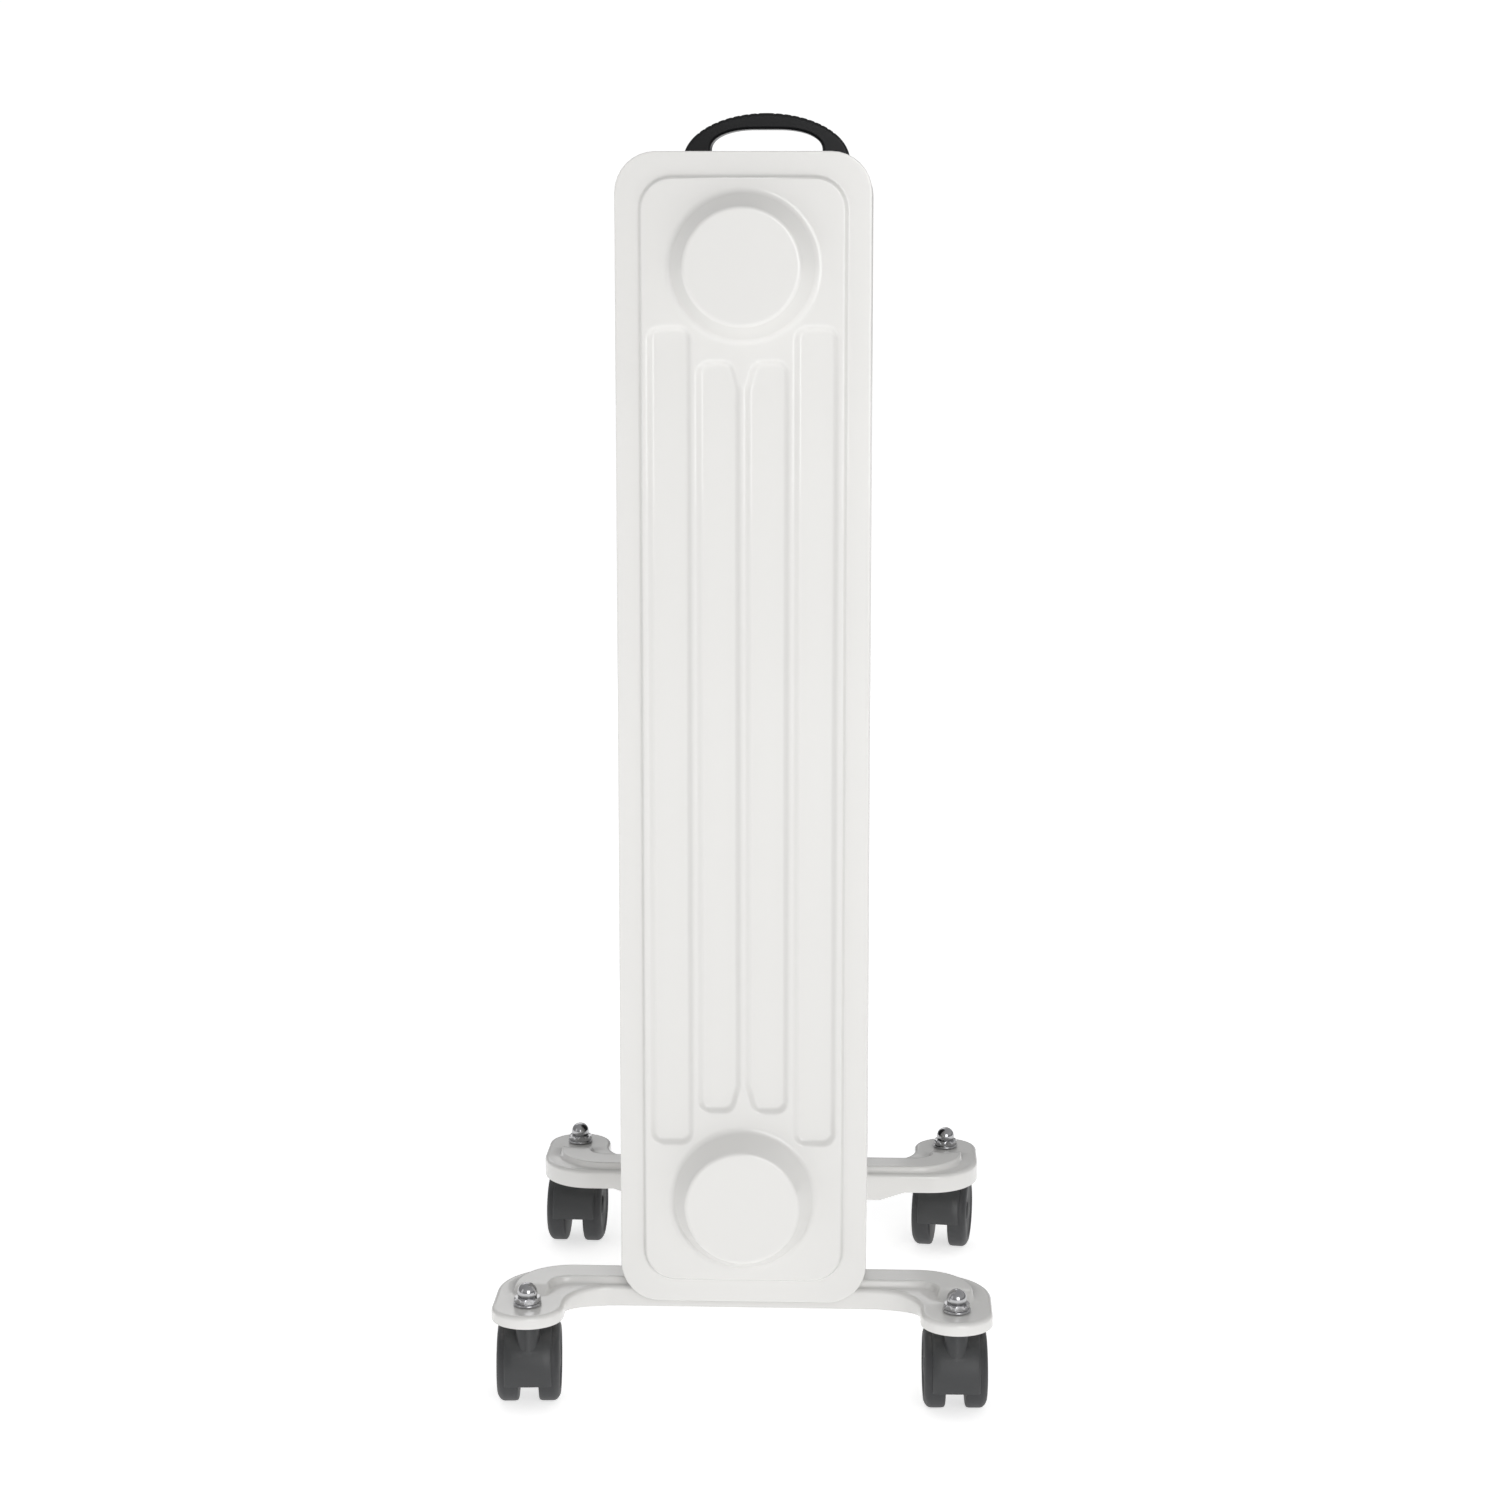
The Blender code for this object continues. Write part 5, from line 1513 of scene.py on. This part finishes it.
@dataclass
class ControlEnd:
    """The control housing, its sloping panel with the controls, the lifting handle and the cord fittings.

    Depths are counted from the middle plane of the last fin, heights from the floor.

    Attributes:
        palette: All the finishes.
        half: Half the housing's width.
        wall: Thickness of its wall.
        corner: Radius of its upright corners.
        near: Depth of its edge at the fin.
        depth: Its full depth.
        low: Height of its lower edge.
        top: Height of its top.
        panel_low: Depth and height of the panel's lower end.
        panel_high: Depth and height of the panel's upper end.
        panel_thick: Thickness of the panel.
        gap: Play between parts.
        knob_up: The knob's place along the panel.
        knob_r: Its radius.
        switch_up: The switches' place along the panel.
        switch_x: The switches' place across the panel.
        slots: Number of air slots in a row.
        slot_pitch: From slot to slot.
        gland_z: Height of the cord gland.
        gland_hole: Radius of the hole for it.
        cleat_z: Height of the cord cleat.
        handle_leg: Width of the handle's legs.
        handle_grip: Thickness of its grip.
    """

    palette: Palette
    half: float = 58.0 * MM
    wall: float = 2.5 * MM
    corner: float = 12.0 * MM
    near: float = 4.3 * MM
    depth: float = 110.0 * MM
    low: float = 60.0 * MM
    top: float = 592.0 * MM
    panel_low: Point2 = (110.0 * MM, 466.0 * MM)
    panel_high: Point2 = (94.0 * MM, 586.0 * MM)
    panel_thick: float = 2.5 * MM
    gap: float = 0.3 * MM
    knob_up: float = -14.0 * MM
    knob_r: float = 24.0 * MM
    switch_up: float = 34.0 * MM
    switch_x: float = 22.0 * MM
    slots: int = 12
    slot_pitch: float = 8.0 * MM
    gland_z: float = 172.0 * MM
    gland_hole: float = 6.3 * MM
    cleat_z: float = 250.0 * MM
    handle_leg: float = 15.2 * MM
    handle_grip: float = 9.0 * MM

    def __post_init__(self) -> None:
        """Works out where the housing and its panel are."""
        self.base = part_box("control_housing")[0].y - self.near
        low = Vector((0.0, self.panel_low[0] + self.base, self.panel_low[1]))
        high = Vector((0.0, self.panel_high[0] + self.base, self.panel_high[1]))
        up = (high - low).normalized()
        across = Vector((-1.0, 0.0, 0.0))
        turn = Matrix((across, up, across.cross(up))).transposed().to_4x4()
        self.pose = Matrix.Translation((low + high) / 2.0) @ turn
        self.seat = self.panel_thick + 2.0 * self.gap

    def on_panel(self, across: float, up: float, out: float = 0.0) -> Matrix:
        """The frame of a spot on the panel."""
        return self.pose @ Matrix.Translation((across, up, out))

    def section(self, depth: float, z: float, wall: float) -> list[tuple[float, float, float]]:
        """One level of the housing, moved inwards by a wall."""
        half, corner = self.half - wall, max(self.corner - wall, MM)
        near = self.near if wall < self.wall else -5.0 * MM
        far = depth - wall
        outline = [(half, near)]
        outline += arc((half - corner, far - corner), corner, 0.0, 90.0, 10)
        outline += arc((corner - half, far - corner), corner, 90.0, 180.0, 10)
        outline.append((-half, near))
        return [(x, y + self.base, z) for x, y in outline]

    def levels(self, round_off: float) -> list[tuple[float, float, float]]:
        """Depth, height and inset of the housing's levels, with its top and bottom edges rounded."""
        low_depth = 60.0 * MM
        rows = []
        for angle in np.linspace(0.0, QUARTER, 5):
            rise = round_off * (1.0 - math.cos(angle))
            rows.append((low_depth + 0.85 * rise, self.low + rise, round_off * (1.0 - math.sin(angle))))
        rows += [(98.0 * MM, self.low + 45.0 * MM, 0.0), (105.5 * MM, self.low + 62.0 * MM, 0.0),
                 (109.2 * MM, self.low + 76.0 * MM, 0.0), (self.depth, self.low + 88.0 * MM, 0.0),
                 (*self.panel_low, 0.0), (*self.panel_high, 0.0)]
        high, top = self.panel_high[1], self.top
        for angle in np.linspace(0.0, QUARTER, 6)[1:]:
            rise = (top - high) * math.sin(angle)
            rows.append((self.panel_high[0] - 0.8 * MM * math.sin(angle), high + rise,
                         round_off * (1.0 - math.cos(angle))))
        return rows

    def louvres(self) -> list[bmesh.types.BMesh]:
        """Cutters for the air slots: two rows of short slots across the back and one row on each side."""
        cutters = []
        slot = prism(round_rectangle((16.0 * MM, 1.6 * MM), 1.59 * MM, 6), -8.0 * MM, 8.0 * MM)
        moved(slot, Matrix.Rotation(QUARTER, 4, "X"))
        places = [((x * MM, self.base + self.depth, 316.0 * MM), 0.0) for x in (-22.0, 22.0)]
        places += [((side.value * self.half, self.base + 62.0 * MM, start * MM), QUARTER)
                   for side in Side for start in (112.0, 340.0)]
        row = {"Count": self.slots, "Step": (0.0, 0.0, self.slot_pitch)}
        for spot, turn in places:
            copies = grown("slots", layout_tree(Layout.LINE), row, slot.copy())
            cutters.append(moved(copies, stood(spot, turn, "Z")))
        slot.free()
        return cutters

    def housing(self) -> None:
        """The moulded case, hollow, with a window behind the panel and slots for the air."""
        outer = lofted([self.section(depth, z, inside) for depth, z, inside in self.levels(6.0 * MM)])
        rows = self.levels(0.0)
        inner_rows = [(d, min(max(z, self.low + self.wall), self.top - self.wall)) for d, z, _ in rows]
        rows = [inner_rows[4], *inner_rows[5:-5], inner_rows[-1]]
        hollow = lofted([self.section(depth, z, self.wall) for depth, z in rows])
        window = prism(round_rectangle((46.0 * MM, 53.0 * MM), 3.0 * MM, 4), -12.0 * MM, 5.0 * MM)
        hole = cylinder(self.gland_hole, -20.0 * MM, 20.0 * MM, 32)
        moved(hole, stood((0.0, self.base + self.depth, self.gland_z), QUARTER, "X"))
        cuts = [hollow, moved(window, self.pose), hole, *self.louvres()]
        case = combined("case", outer, cuts=cuts)
        shell = piece("control_case", case, ROOT, self.palette.black, ["control_housing"], sharp=35.0)
        soften(shell, 0.5 * MM, 2, 60.0)

    def panel(self) -> None:
        """The gloss fascia with its printed dial, and its four screws."""
        def plate_outline(depth: float) -> Outline:
            return round_rectangle((51.0 * MM - depth, 58.0 * MM - depth), 8.0 * MM - depth, 10)

        plate = pillow(plate_outline, self.gap, self.seat - self.gap, 0.9 * MM)
        through = 9.0 * MM
        cuts = [moved(cylinder(radius, -through, through, 32), Matrix.Translation((0.0, up, 0.0)))
                for radius, up in ((4.5 * MM, self.knob_up), (4.3 * MM, self.switch_up))]
        for side in Side:
            spot = (side.value * self.switch_x, self.switch_up)
            cuts.append(prism(round_rectangle((6.9 * MM, 10.8 * MM), 0.8 * MM, 3, spot), -through, through))
        drill = cylinder(1.9 * MM, -through, through, 24)
        corners = {"Width": 88.0 * MM, "Height": 102.0 * MM, "Columns": 2, "Rows": 2}
        cuts.append(grown("drills", layout_tree(Layout.GRID), corners, drill))
        mesh = combined("fascia", plate, cuts=cuts)
        mesh.transform(self.pose)
        piece("control_fascia", mesh, ROOT, self.palette.gloss_black, ["control_panel"], sharp=30.0)

        face = self.panel_thick + self.gap
        screw = grown("screws", layout_tree(Layout.GRID), {**corners, "Finish": self.palette.zinc}, self.screw())
        mesh = to_mesh("screws", moved(screw, self.on_panel(0.0, 0.0, face + 0.1 * MM)))
        piece("fascia_screws", mesh, ROOT, self.palette.zinc, sharp=30.0)
        self.dial(face)

    def screw(self) -> bmesh.types.BMesh:
        """A small pan-head screw with a cross recess, its seat at the origin."""
        head = spun([(0.0, -6.0), (1.5, -6.0), (1.6, 0.0), (3.1, 0.0), (3.2, 0.5), (2.8, 1.3), (1.8, 1.8),
                     (0.0, 2.0)], 24)
        bars = [prism([(-a, -b), (a, -b), (a, b), (-a, b)], 0.9 * MM, 4.0 * MM)
                for a, b in ((1.7 * MM, 0.35 * MM), (0.35 * MM, 1.7 * MM))]
        mesh = combined("screw", head, cuts=bars)
        result = bmesh.new()
        result.from_mesh(mesh)
        bpy.data.meshes.remove(mesh)
        return result

    def dial(self, face: float) -> None:
        """The printed ring of marks round the knob: a tick for each step, longer at every third."""
        sweep = math.radians(270.0)
        start = math.radians(-45.0)
        rows = []
        for count, length, width in ((10, 3.6 * MM, 0.5 * MM), (28, 1.6 * MM, 0.3 * MM)):
            tick = prism([(-length / 2.0, -width), (length / 2.0, -width), (length / 2.0, width),
                          (-length / 2.0, width)], 0.0, 0.12 * MM)
            rows.append(grown("ticks", layout_tree(Layout.ARC), {
                "Count": count, "Radius": self.knob_r + 2.2 * MM + length / 2.0, "Start": start, "Sweep": sweep,
                "Finish": self.palette.marks}, tick))
        mesh = to_mesh("dial", moved(joined(rows), self.on_panel(0.0, self.knob_up, face)))
        piece("dial_marks", mesh, ROOT, self.palette.marks)

    def knob(self) -> None:
        """The thermostat knob: a fluted skirt, a grip bar and a pointer line."""
        rings = []
        steps = 240
        for radius, z, flute in ((23.3, 0.0, 0.0), (24.0, 0.4, 0.0), (24.0, 1.0, 0.3), (23.9, 3.4, 0.45),
                                 (23.2, 4.4, 0.3), (22.0, 5.4, 0.0), (20.6, 5.9, 0.0), (18.0, 6.0, 0.0)):
            ring = []
            for step in range(steps):
                angle = 2.0 * math.pi * step / steps
                away = (radius - flute * (0.5 + 0.5 * math.cos(40.0 * angle))) * MM
                ring.append((away * math.cos(angle), away * math.sin(angle), self.seat + z * MM))
            rings.append(ring)
        skirt = lofted(rings)
        grip_levels = [(20.0, 4.6, 5.0), (19.6, 4.2, 8.0), (18.6, 3.9, 12.0), (18.0, 3.7, 14.0), (17.6, 3.3, 14.7),
                       (16.8, 2.6, 15.0)]
        grip = lofted([[(x, y, self.seat + z * MM) for x, y in
                        round_rectangle((across * MM, along * MM), min(across, along) * 0.98 * MM, 10)]
                       for along, across, z in grip_levels])
        shaft = cylinder(3.0 * MM, -12.0 * MM, self.seat + MM, 32)
        mesh = combined("knob", skirt, [grip, shaft])
        place = self.on_panel(0.0, self.knob_up)
        mesh.transform(place)
        body = "thermostat_knob"
        piece("knob_moulding", mesh, body, self.palette.black, [body], sharp=40.0)
        line = prism(round_rectangle((0.55 * MM, 4.2 * MM), 0.5 * MM, 4, (0.0, 11.0 * MM)), 0.0, 0.12 * MM)
        mesh = to_mesh("pointer", moved(line, place @ Matrix.Translation((0.0, 0.0, self.seat + 15.0 * MM))))
        piece("knob_pointer", mesh, body, self.palette.marks)

    def switches(self) -> None:
        """Two rocker switches in their bezels."""
        for name, side in (("left", 1.0), ("right", -1.0)):
            place = self.on_panel(side * self.switch_x, self.switch_up)
            case = prism(round_rectangle((6.6 * MM, 10.5 * MM), 0.6 * MM, 3), -18.0 * MM, self.seat + 0.4 * MM)

            def bezel_outline(depth: float) -> Outline:
                return round_rectangle((8.2 * MM - depth, 12.2 * MM - depth), 1.8 * MM - depth, 6)

            bezel = pillow(bezel_outline, self.seat, self.seat + 1.8 * MM, 0.7 * MM)
            well = prism(round_rectangle((5.4 * MM, 9.5 * MM), 0.5 * MM, 3), -8.0 * MM, 12.0 * MM)
            mesh = combined("bezel", case, [bezel], [well])
            mesh.transform(place)
            piece(f"{name}_switch_bezel", mesh, ROOT, self.palette.black, [f"{name}_switch_body"],
                  sharp=35.0)
            line = [(-7.9, 5.1), (-7.6, 5.4), (-5.0, 4.5), (-2.0, 3.8), (0.0, 3.6), (2.0, 3.8), (5.0, 4.5),
                    (7.6, 5.4), (7.9, 5.1), (7.5, 0.0), (4.0, -6.0), (-4.0, -6.0), (-7.5, 0.0)]
            rocker = prism(in_mm(line), -5.0 * MM, 5.0 * MM, "X")
            tilt = Matrix.Rotation(math.radians(10.0), 4, "X")
            spot = place @ Matrix.Translation((0.0, 0.0, 2.0 * MM)) @ tilt
            mesh = to_mesh("rocker", moved(rocker, spot))
            body = f"{name}_rocker"
            key = piece(f"{name}_rocker_key", mesh, body, self.palette.gloss_black, [body], sharp=30.0)
            soften(key, 0.35 * MM, 2)
            bar = prism(round_rectangle((0.35 * MM, 1.5 * MM), 0.3 * MM, 4, (0.0, 4.6 * MM)), 0.0, 0.12 * MM)
            lean = Matrix.Rotation(math.radians(16.0), 4, "X")
            mesh = to_mesh("mark", moved(bar, spot @ Matrix.Translation((0.0, 0.25 * MM, 3.05 * MM)) @ lean))
            piece(f"{name}_rocker_mark", mesh, body, self.palette.marks)

    def lamp(self) -> None:
        """The faceted lens of the pilot lamp."""
        profile = [(0.0, -8.0), (4.0, -8.0), (4.0, 3.1), (5.4, 3.1), (5.4, 4.2), (5.1, 4.7), (4.0, 5.4), (2.6, 6.0),
                   (1.3, 6.3), (0.0, 6.4)]
        mesh = to_mesh("lamp", moved(spun(profile, 40), self.on_panel(0.0, self.switch_up)))
        piece("pilot_lens", mesh, ROOT, self.palette.lens, ["pilot_lamp"], sharp=45.0)

    def handle(self) -> None:
        """The lifting handle: an arch with flat faces, soft edges and shallow grip grooves over its top."""
        low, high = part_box("handle")
        middle, half_depth = (low.y + high.y) / 2.0, (high.y - low.y) / 2.0
        half, foot, top = high.x, low.z, high.z
        def arch(reach: float, peak: float, flat: float, rise: float, bulge: float, groove: float) -> Outline:
            right = []
            for step in range(61):
                angle = math.radians(90.0 * step / 60.0)
                x = flat + (reach - flat) * math.cos(angle) ** bulge
                z = peak - rise + rise * math.sin(angle) ** bulge
                sunk = groove if 20 < step < 58 and step % 4 == 0 else 0.0
                right.append((x - sunk * math.cos(angle), z - sunk * math.sin(angle)))
            mirrored = [(-x, z) for x, z in right[::-1]]
            return right[:-1] + [(0.0, peak)] + mirrored[1:] if flat == 0.0 else right + mirrored

        outer = [(half, foot), *arch(half, top, 0.0, 26.0 * MM, 1.0, 0.3 * MM), (-half, foot)]
        inside, crest = half - self.handle_leg, top - self.handle_grip
        inner = [(-inside, foot), *arch(inside, crest, 6.0 * MM, 11.5 * MM, 0.9, 0.0)[::-1], (inside, foot)]
        mesh = to_mesh("arch", prism(outer + inner, middle - half_depth, middle + half_depth, "Y"))
        arch_piece = piece("lifting_handle", mesh, ROOT, self.palette.black, ["handle"], sharp=30.0)
        soften(arch_piece, 1.6 * MM, 4, 60.0)

    def cord_fittings(self) -> None:
        """The gland where a cord would leave, and the cleat that it would be wound on."""
        profile = [(3.6, -6.0), (6.0, -6.0), (6.0, 0.3), (8.2, 0.3), (8.5, 0.7), (8.3, 2.0), (7.6, 3.0), (7.3, 3.2),
                   (7.3, 4.0), (7.6, 4.2), (7.4, 5.4), (7.0, 5.6), (7.0, 6.4), (7.2, 6.6), (6.9, 7.6), (6.3, 8.0),
                   (4.2, 8.0), (3.6, 7.4)]
        place = stood((0.0, self.base + self.depth, self.gland_z), -QUARTER, "X")
        mesh = to_mesh("gland", moved(spun(profile, 48), place))
        piece("cord_strain_relief", mesh, ROOT, self.palette.black, ["cord_gland"], sharp=50.0)
        post = prism(round_rectangle((9.0 * MM, 7.0 * MM), 2.0 * MM, 4), 0.0, 12.0 * MM, "Y")
        line = [(-40, 9), (-36, 13), (36, 13), (40, 9), (40, 5), (34, -4), (-34, -4), (-40, 5)]
        corners = in_mm((x, z - 4.5) for x, z in line)
        bar = prism(filleted(corners, [2.0 * MM] * len(corners), 4), 11.0 * MM, 15.5 * MM, "Y")
        mesh = combined("cleat", post, [bar])
        mesh.transform(Matrix.Translation((0.0, self.base + self.depth + self.gap, self.cleat_z)))
        cleat = piece("cord_winding_cleat", mesh, ROOT, self.palette.black, ["cord_cleat"], sharp=30.0)
        soften(cleat, 0.8 * MM, 3, 60.0)

    def build(self) -> None:
        """Builds the whole control end."""
        self.housing()
        self.panel()
        self.knob()
        self.switches()
        self.lamp()
        self.handle()
        self.cord_fittings()
        metal, white = self.palette.zinc, self.palette.ceramic
        for node in ("thermostat", "element_flange", "heating_element", "oil_filler_plug"):
            carried(node, metal)
        for node in ("thermal_cutout", "terminal_block"):
            carried(node, white)


# ---------------------------------------------------------------- studio

@dataclass
class Softbox:
    """A rectangular studio light.

    Attributes:
        name: Its name.
        spot: Where it stands.
        aim: What it points at.
        size: Width and height.
        power: Its power in watts.
    """

    name: str
    spot: tuple[float, float, float]
    aim: tuple[float, float, float]
    size: Point2
    power: float

    def build(self) -> None:
        """Hangs the light."""
        data = bpy.data.lights.new(self.name, "AREA")
        data.shape = "RECTANGLE"
        data.size, data.size_y = self.size
        data.energy = self.power
        lamp = bpy.data.objects.new(self.name, data)
        bpy.context.scene.collection.objects.link(lamp)
        lamp.location = self.spot
        lamp.rotation_euler = (Vector(self.aim) - Vector(self.spot)).to_track_quat("-Z", "Y").to_euler()


@dataclass
class Studio:
    """The pale floor, the light and the camera.

    Attributes:
        paper: Finish of the floor.
        eye: The camera's place.
        yaw: Its turn towards -X, in degrees.
        pitch: How far it looks down, in degrees.
        lens: Focal length in millimetres on a 36 mm sensor.
        shift: Vertical shift of the lens.
    """

    paper: bpy.types.Material
    eye: tuple[float, float, float] = (0.0640, -1.5618, 0.5747)
    yaw: float = 2.47
    pitch: float = 8.68
    lens: float = 71.98
    shift: float = -0.05

    def camera(self) -> None:
        """Sets up the camera."""
        data = bpy.data.cameras.new("camera")
        data.sensor_width = 36.0
        data.lens = self.lens
        data.shift_y = self.shift
        data.clip_end = 50.0
        thing = bpy.data.objects.new("camera", data)
        bpy.context.scene.collection.objects.link(thing)
        thing.location = self.eye
        thing.rotation_euler = (math.radians(90.0 - self.pitch), 0.0, math.radians(self.yaw))
        bpy.context.scene.camera = thing

    def floor(self) -> None:
        """A large sheet of paper on the floor."""
        mesh = to_mesh("floor", prism([(-8.0, -8.0), (8.0, -8.0), (8.0, 8.0), (-8.0, 8.0)], -0.01, 0.0))
        thing = carrier("studio_floor", mesh)
        dress(thing, self.paper)

    def surroundings(self) -> None:
        """A soft grey room, darker at the foot of its walls, overhead and on the left."""
        world = bpy.data.worlds.new("studio_room")
        bpy.context.scene.world = world
        world.use_nodes = True
        graph = Graph(world.node_tree)
        facing = graph.add("ShaderNodeTexCoord").outputs["Generated"]
        parts = graph.add("ShaderNodeSeparateXYZ", {0: facing}).outputs
        wall = graph.mix(graph.ramp(parts["Z"], 0.08, 0.34), (0.20, 0.20, 0.205), (0.54, 0.54, 0.54))
        room = graph.mix(graph.ramp(parts["Z"], 0.45, 0.95), wall, (0.46, 0.46, 0.465))
        shade = graph.mix(graph.ramp(parts["X"], -0.9, -0.2), (0.36, 0.36, 0.365), room)
        lit = graph.add("ShaderNodeBackground", {"Color": shade, "Strength": 1.0}).outputs[0]
        seen = graph.add("ShaderNodeBackground", {"Color": (1.0, 1.0, 1.0, 1.0), "Strength": 1.04}).outputs[0]
        ray = graph.add("ShaderNodeLightPath").outputs["Is Camera Ray"]
        mixed = graph.add("ShaderNodeMixShader", {0: ray, 1: lit, 2: seen}).outputs[0]
        graph.add("ShaderNodeOutputWorld", {"Surface": mixed})

    def build(self) -> None:
        """Builds the studio."""
        self.camera()
        self.floor()
        self.surroundings()
        middle = (0.0, -0.1, 0.33)
        Softbox("key", (0.7, -2.3, 0.85), middle, (1.3, 1.3), 17.0).build()
        Softbox("fill", (-1.9, -1.2, 0.9), middle, (0.8, 1.4), 2.0).build()
        Softbox("back", (-0.6, 1.9, 1.3), middle, (1.6, 1.2), 5.0).build()
        scene = bpy.context.scene
        scene.view_settings.view_transform = "Standard"
        scene.view_settings.look = "None"


def main() -> None:
    """Builds the heater piece by piece."""
    logging.basicConfig(level=logging.INFO, format="%(name)s: %(message)s")
    palette = Palette()
    Studio(palette.paper).build()
    FinStack(palette.paint).build()
    for end in End:
        Bracket(end, palette.paint, palette.zinc).build()
        for side in ("left", "right"):
            Caster(f"{end.value}_{side}", palette.charcoal, palette.rubber, palette.chrome, palette.zinc).build()
    ControlEnd(palette).build()


if __name__ == "__main__":
    main()
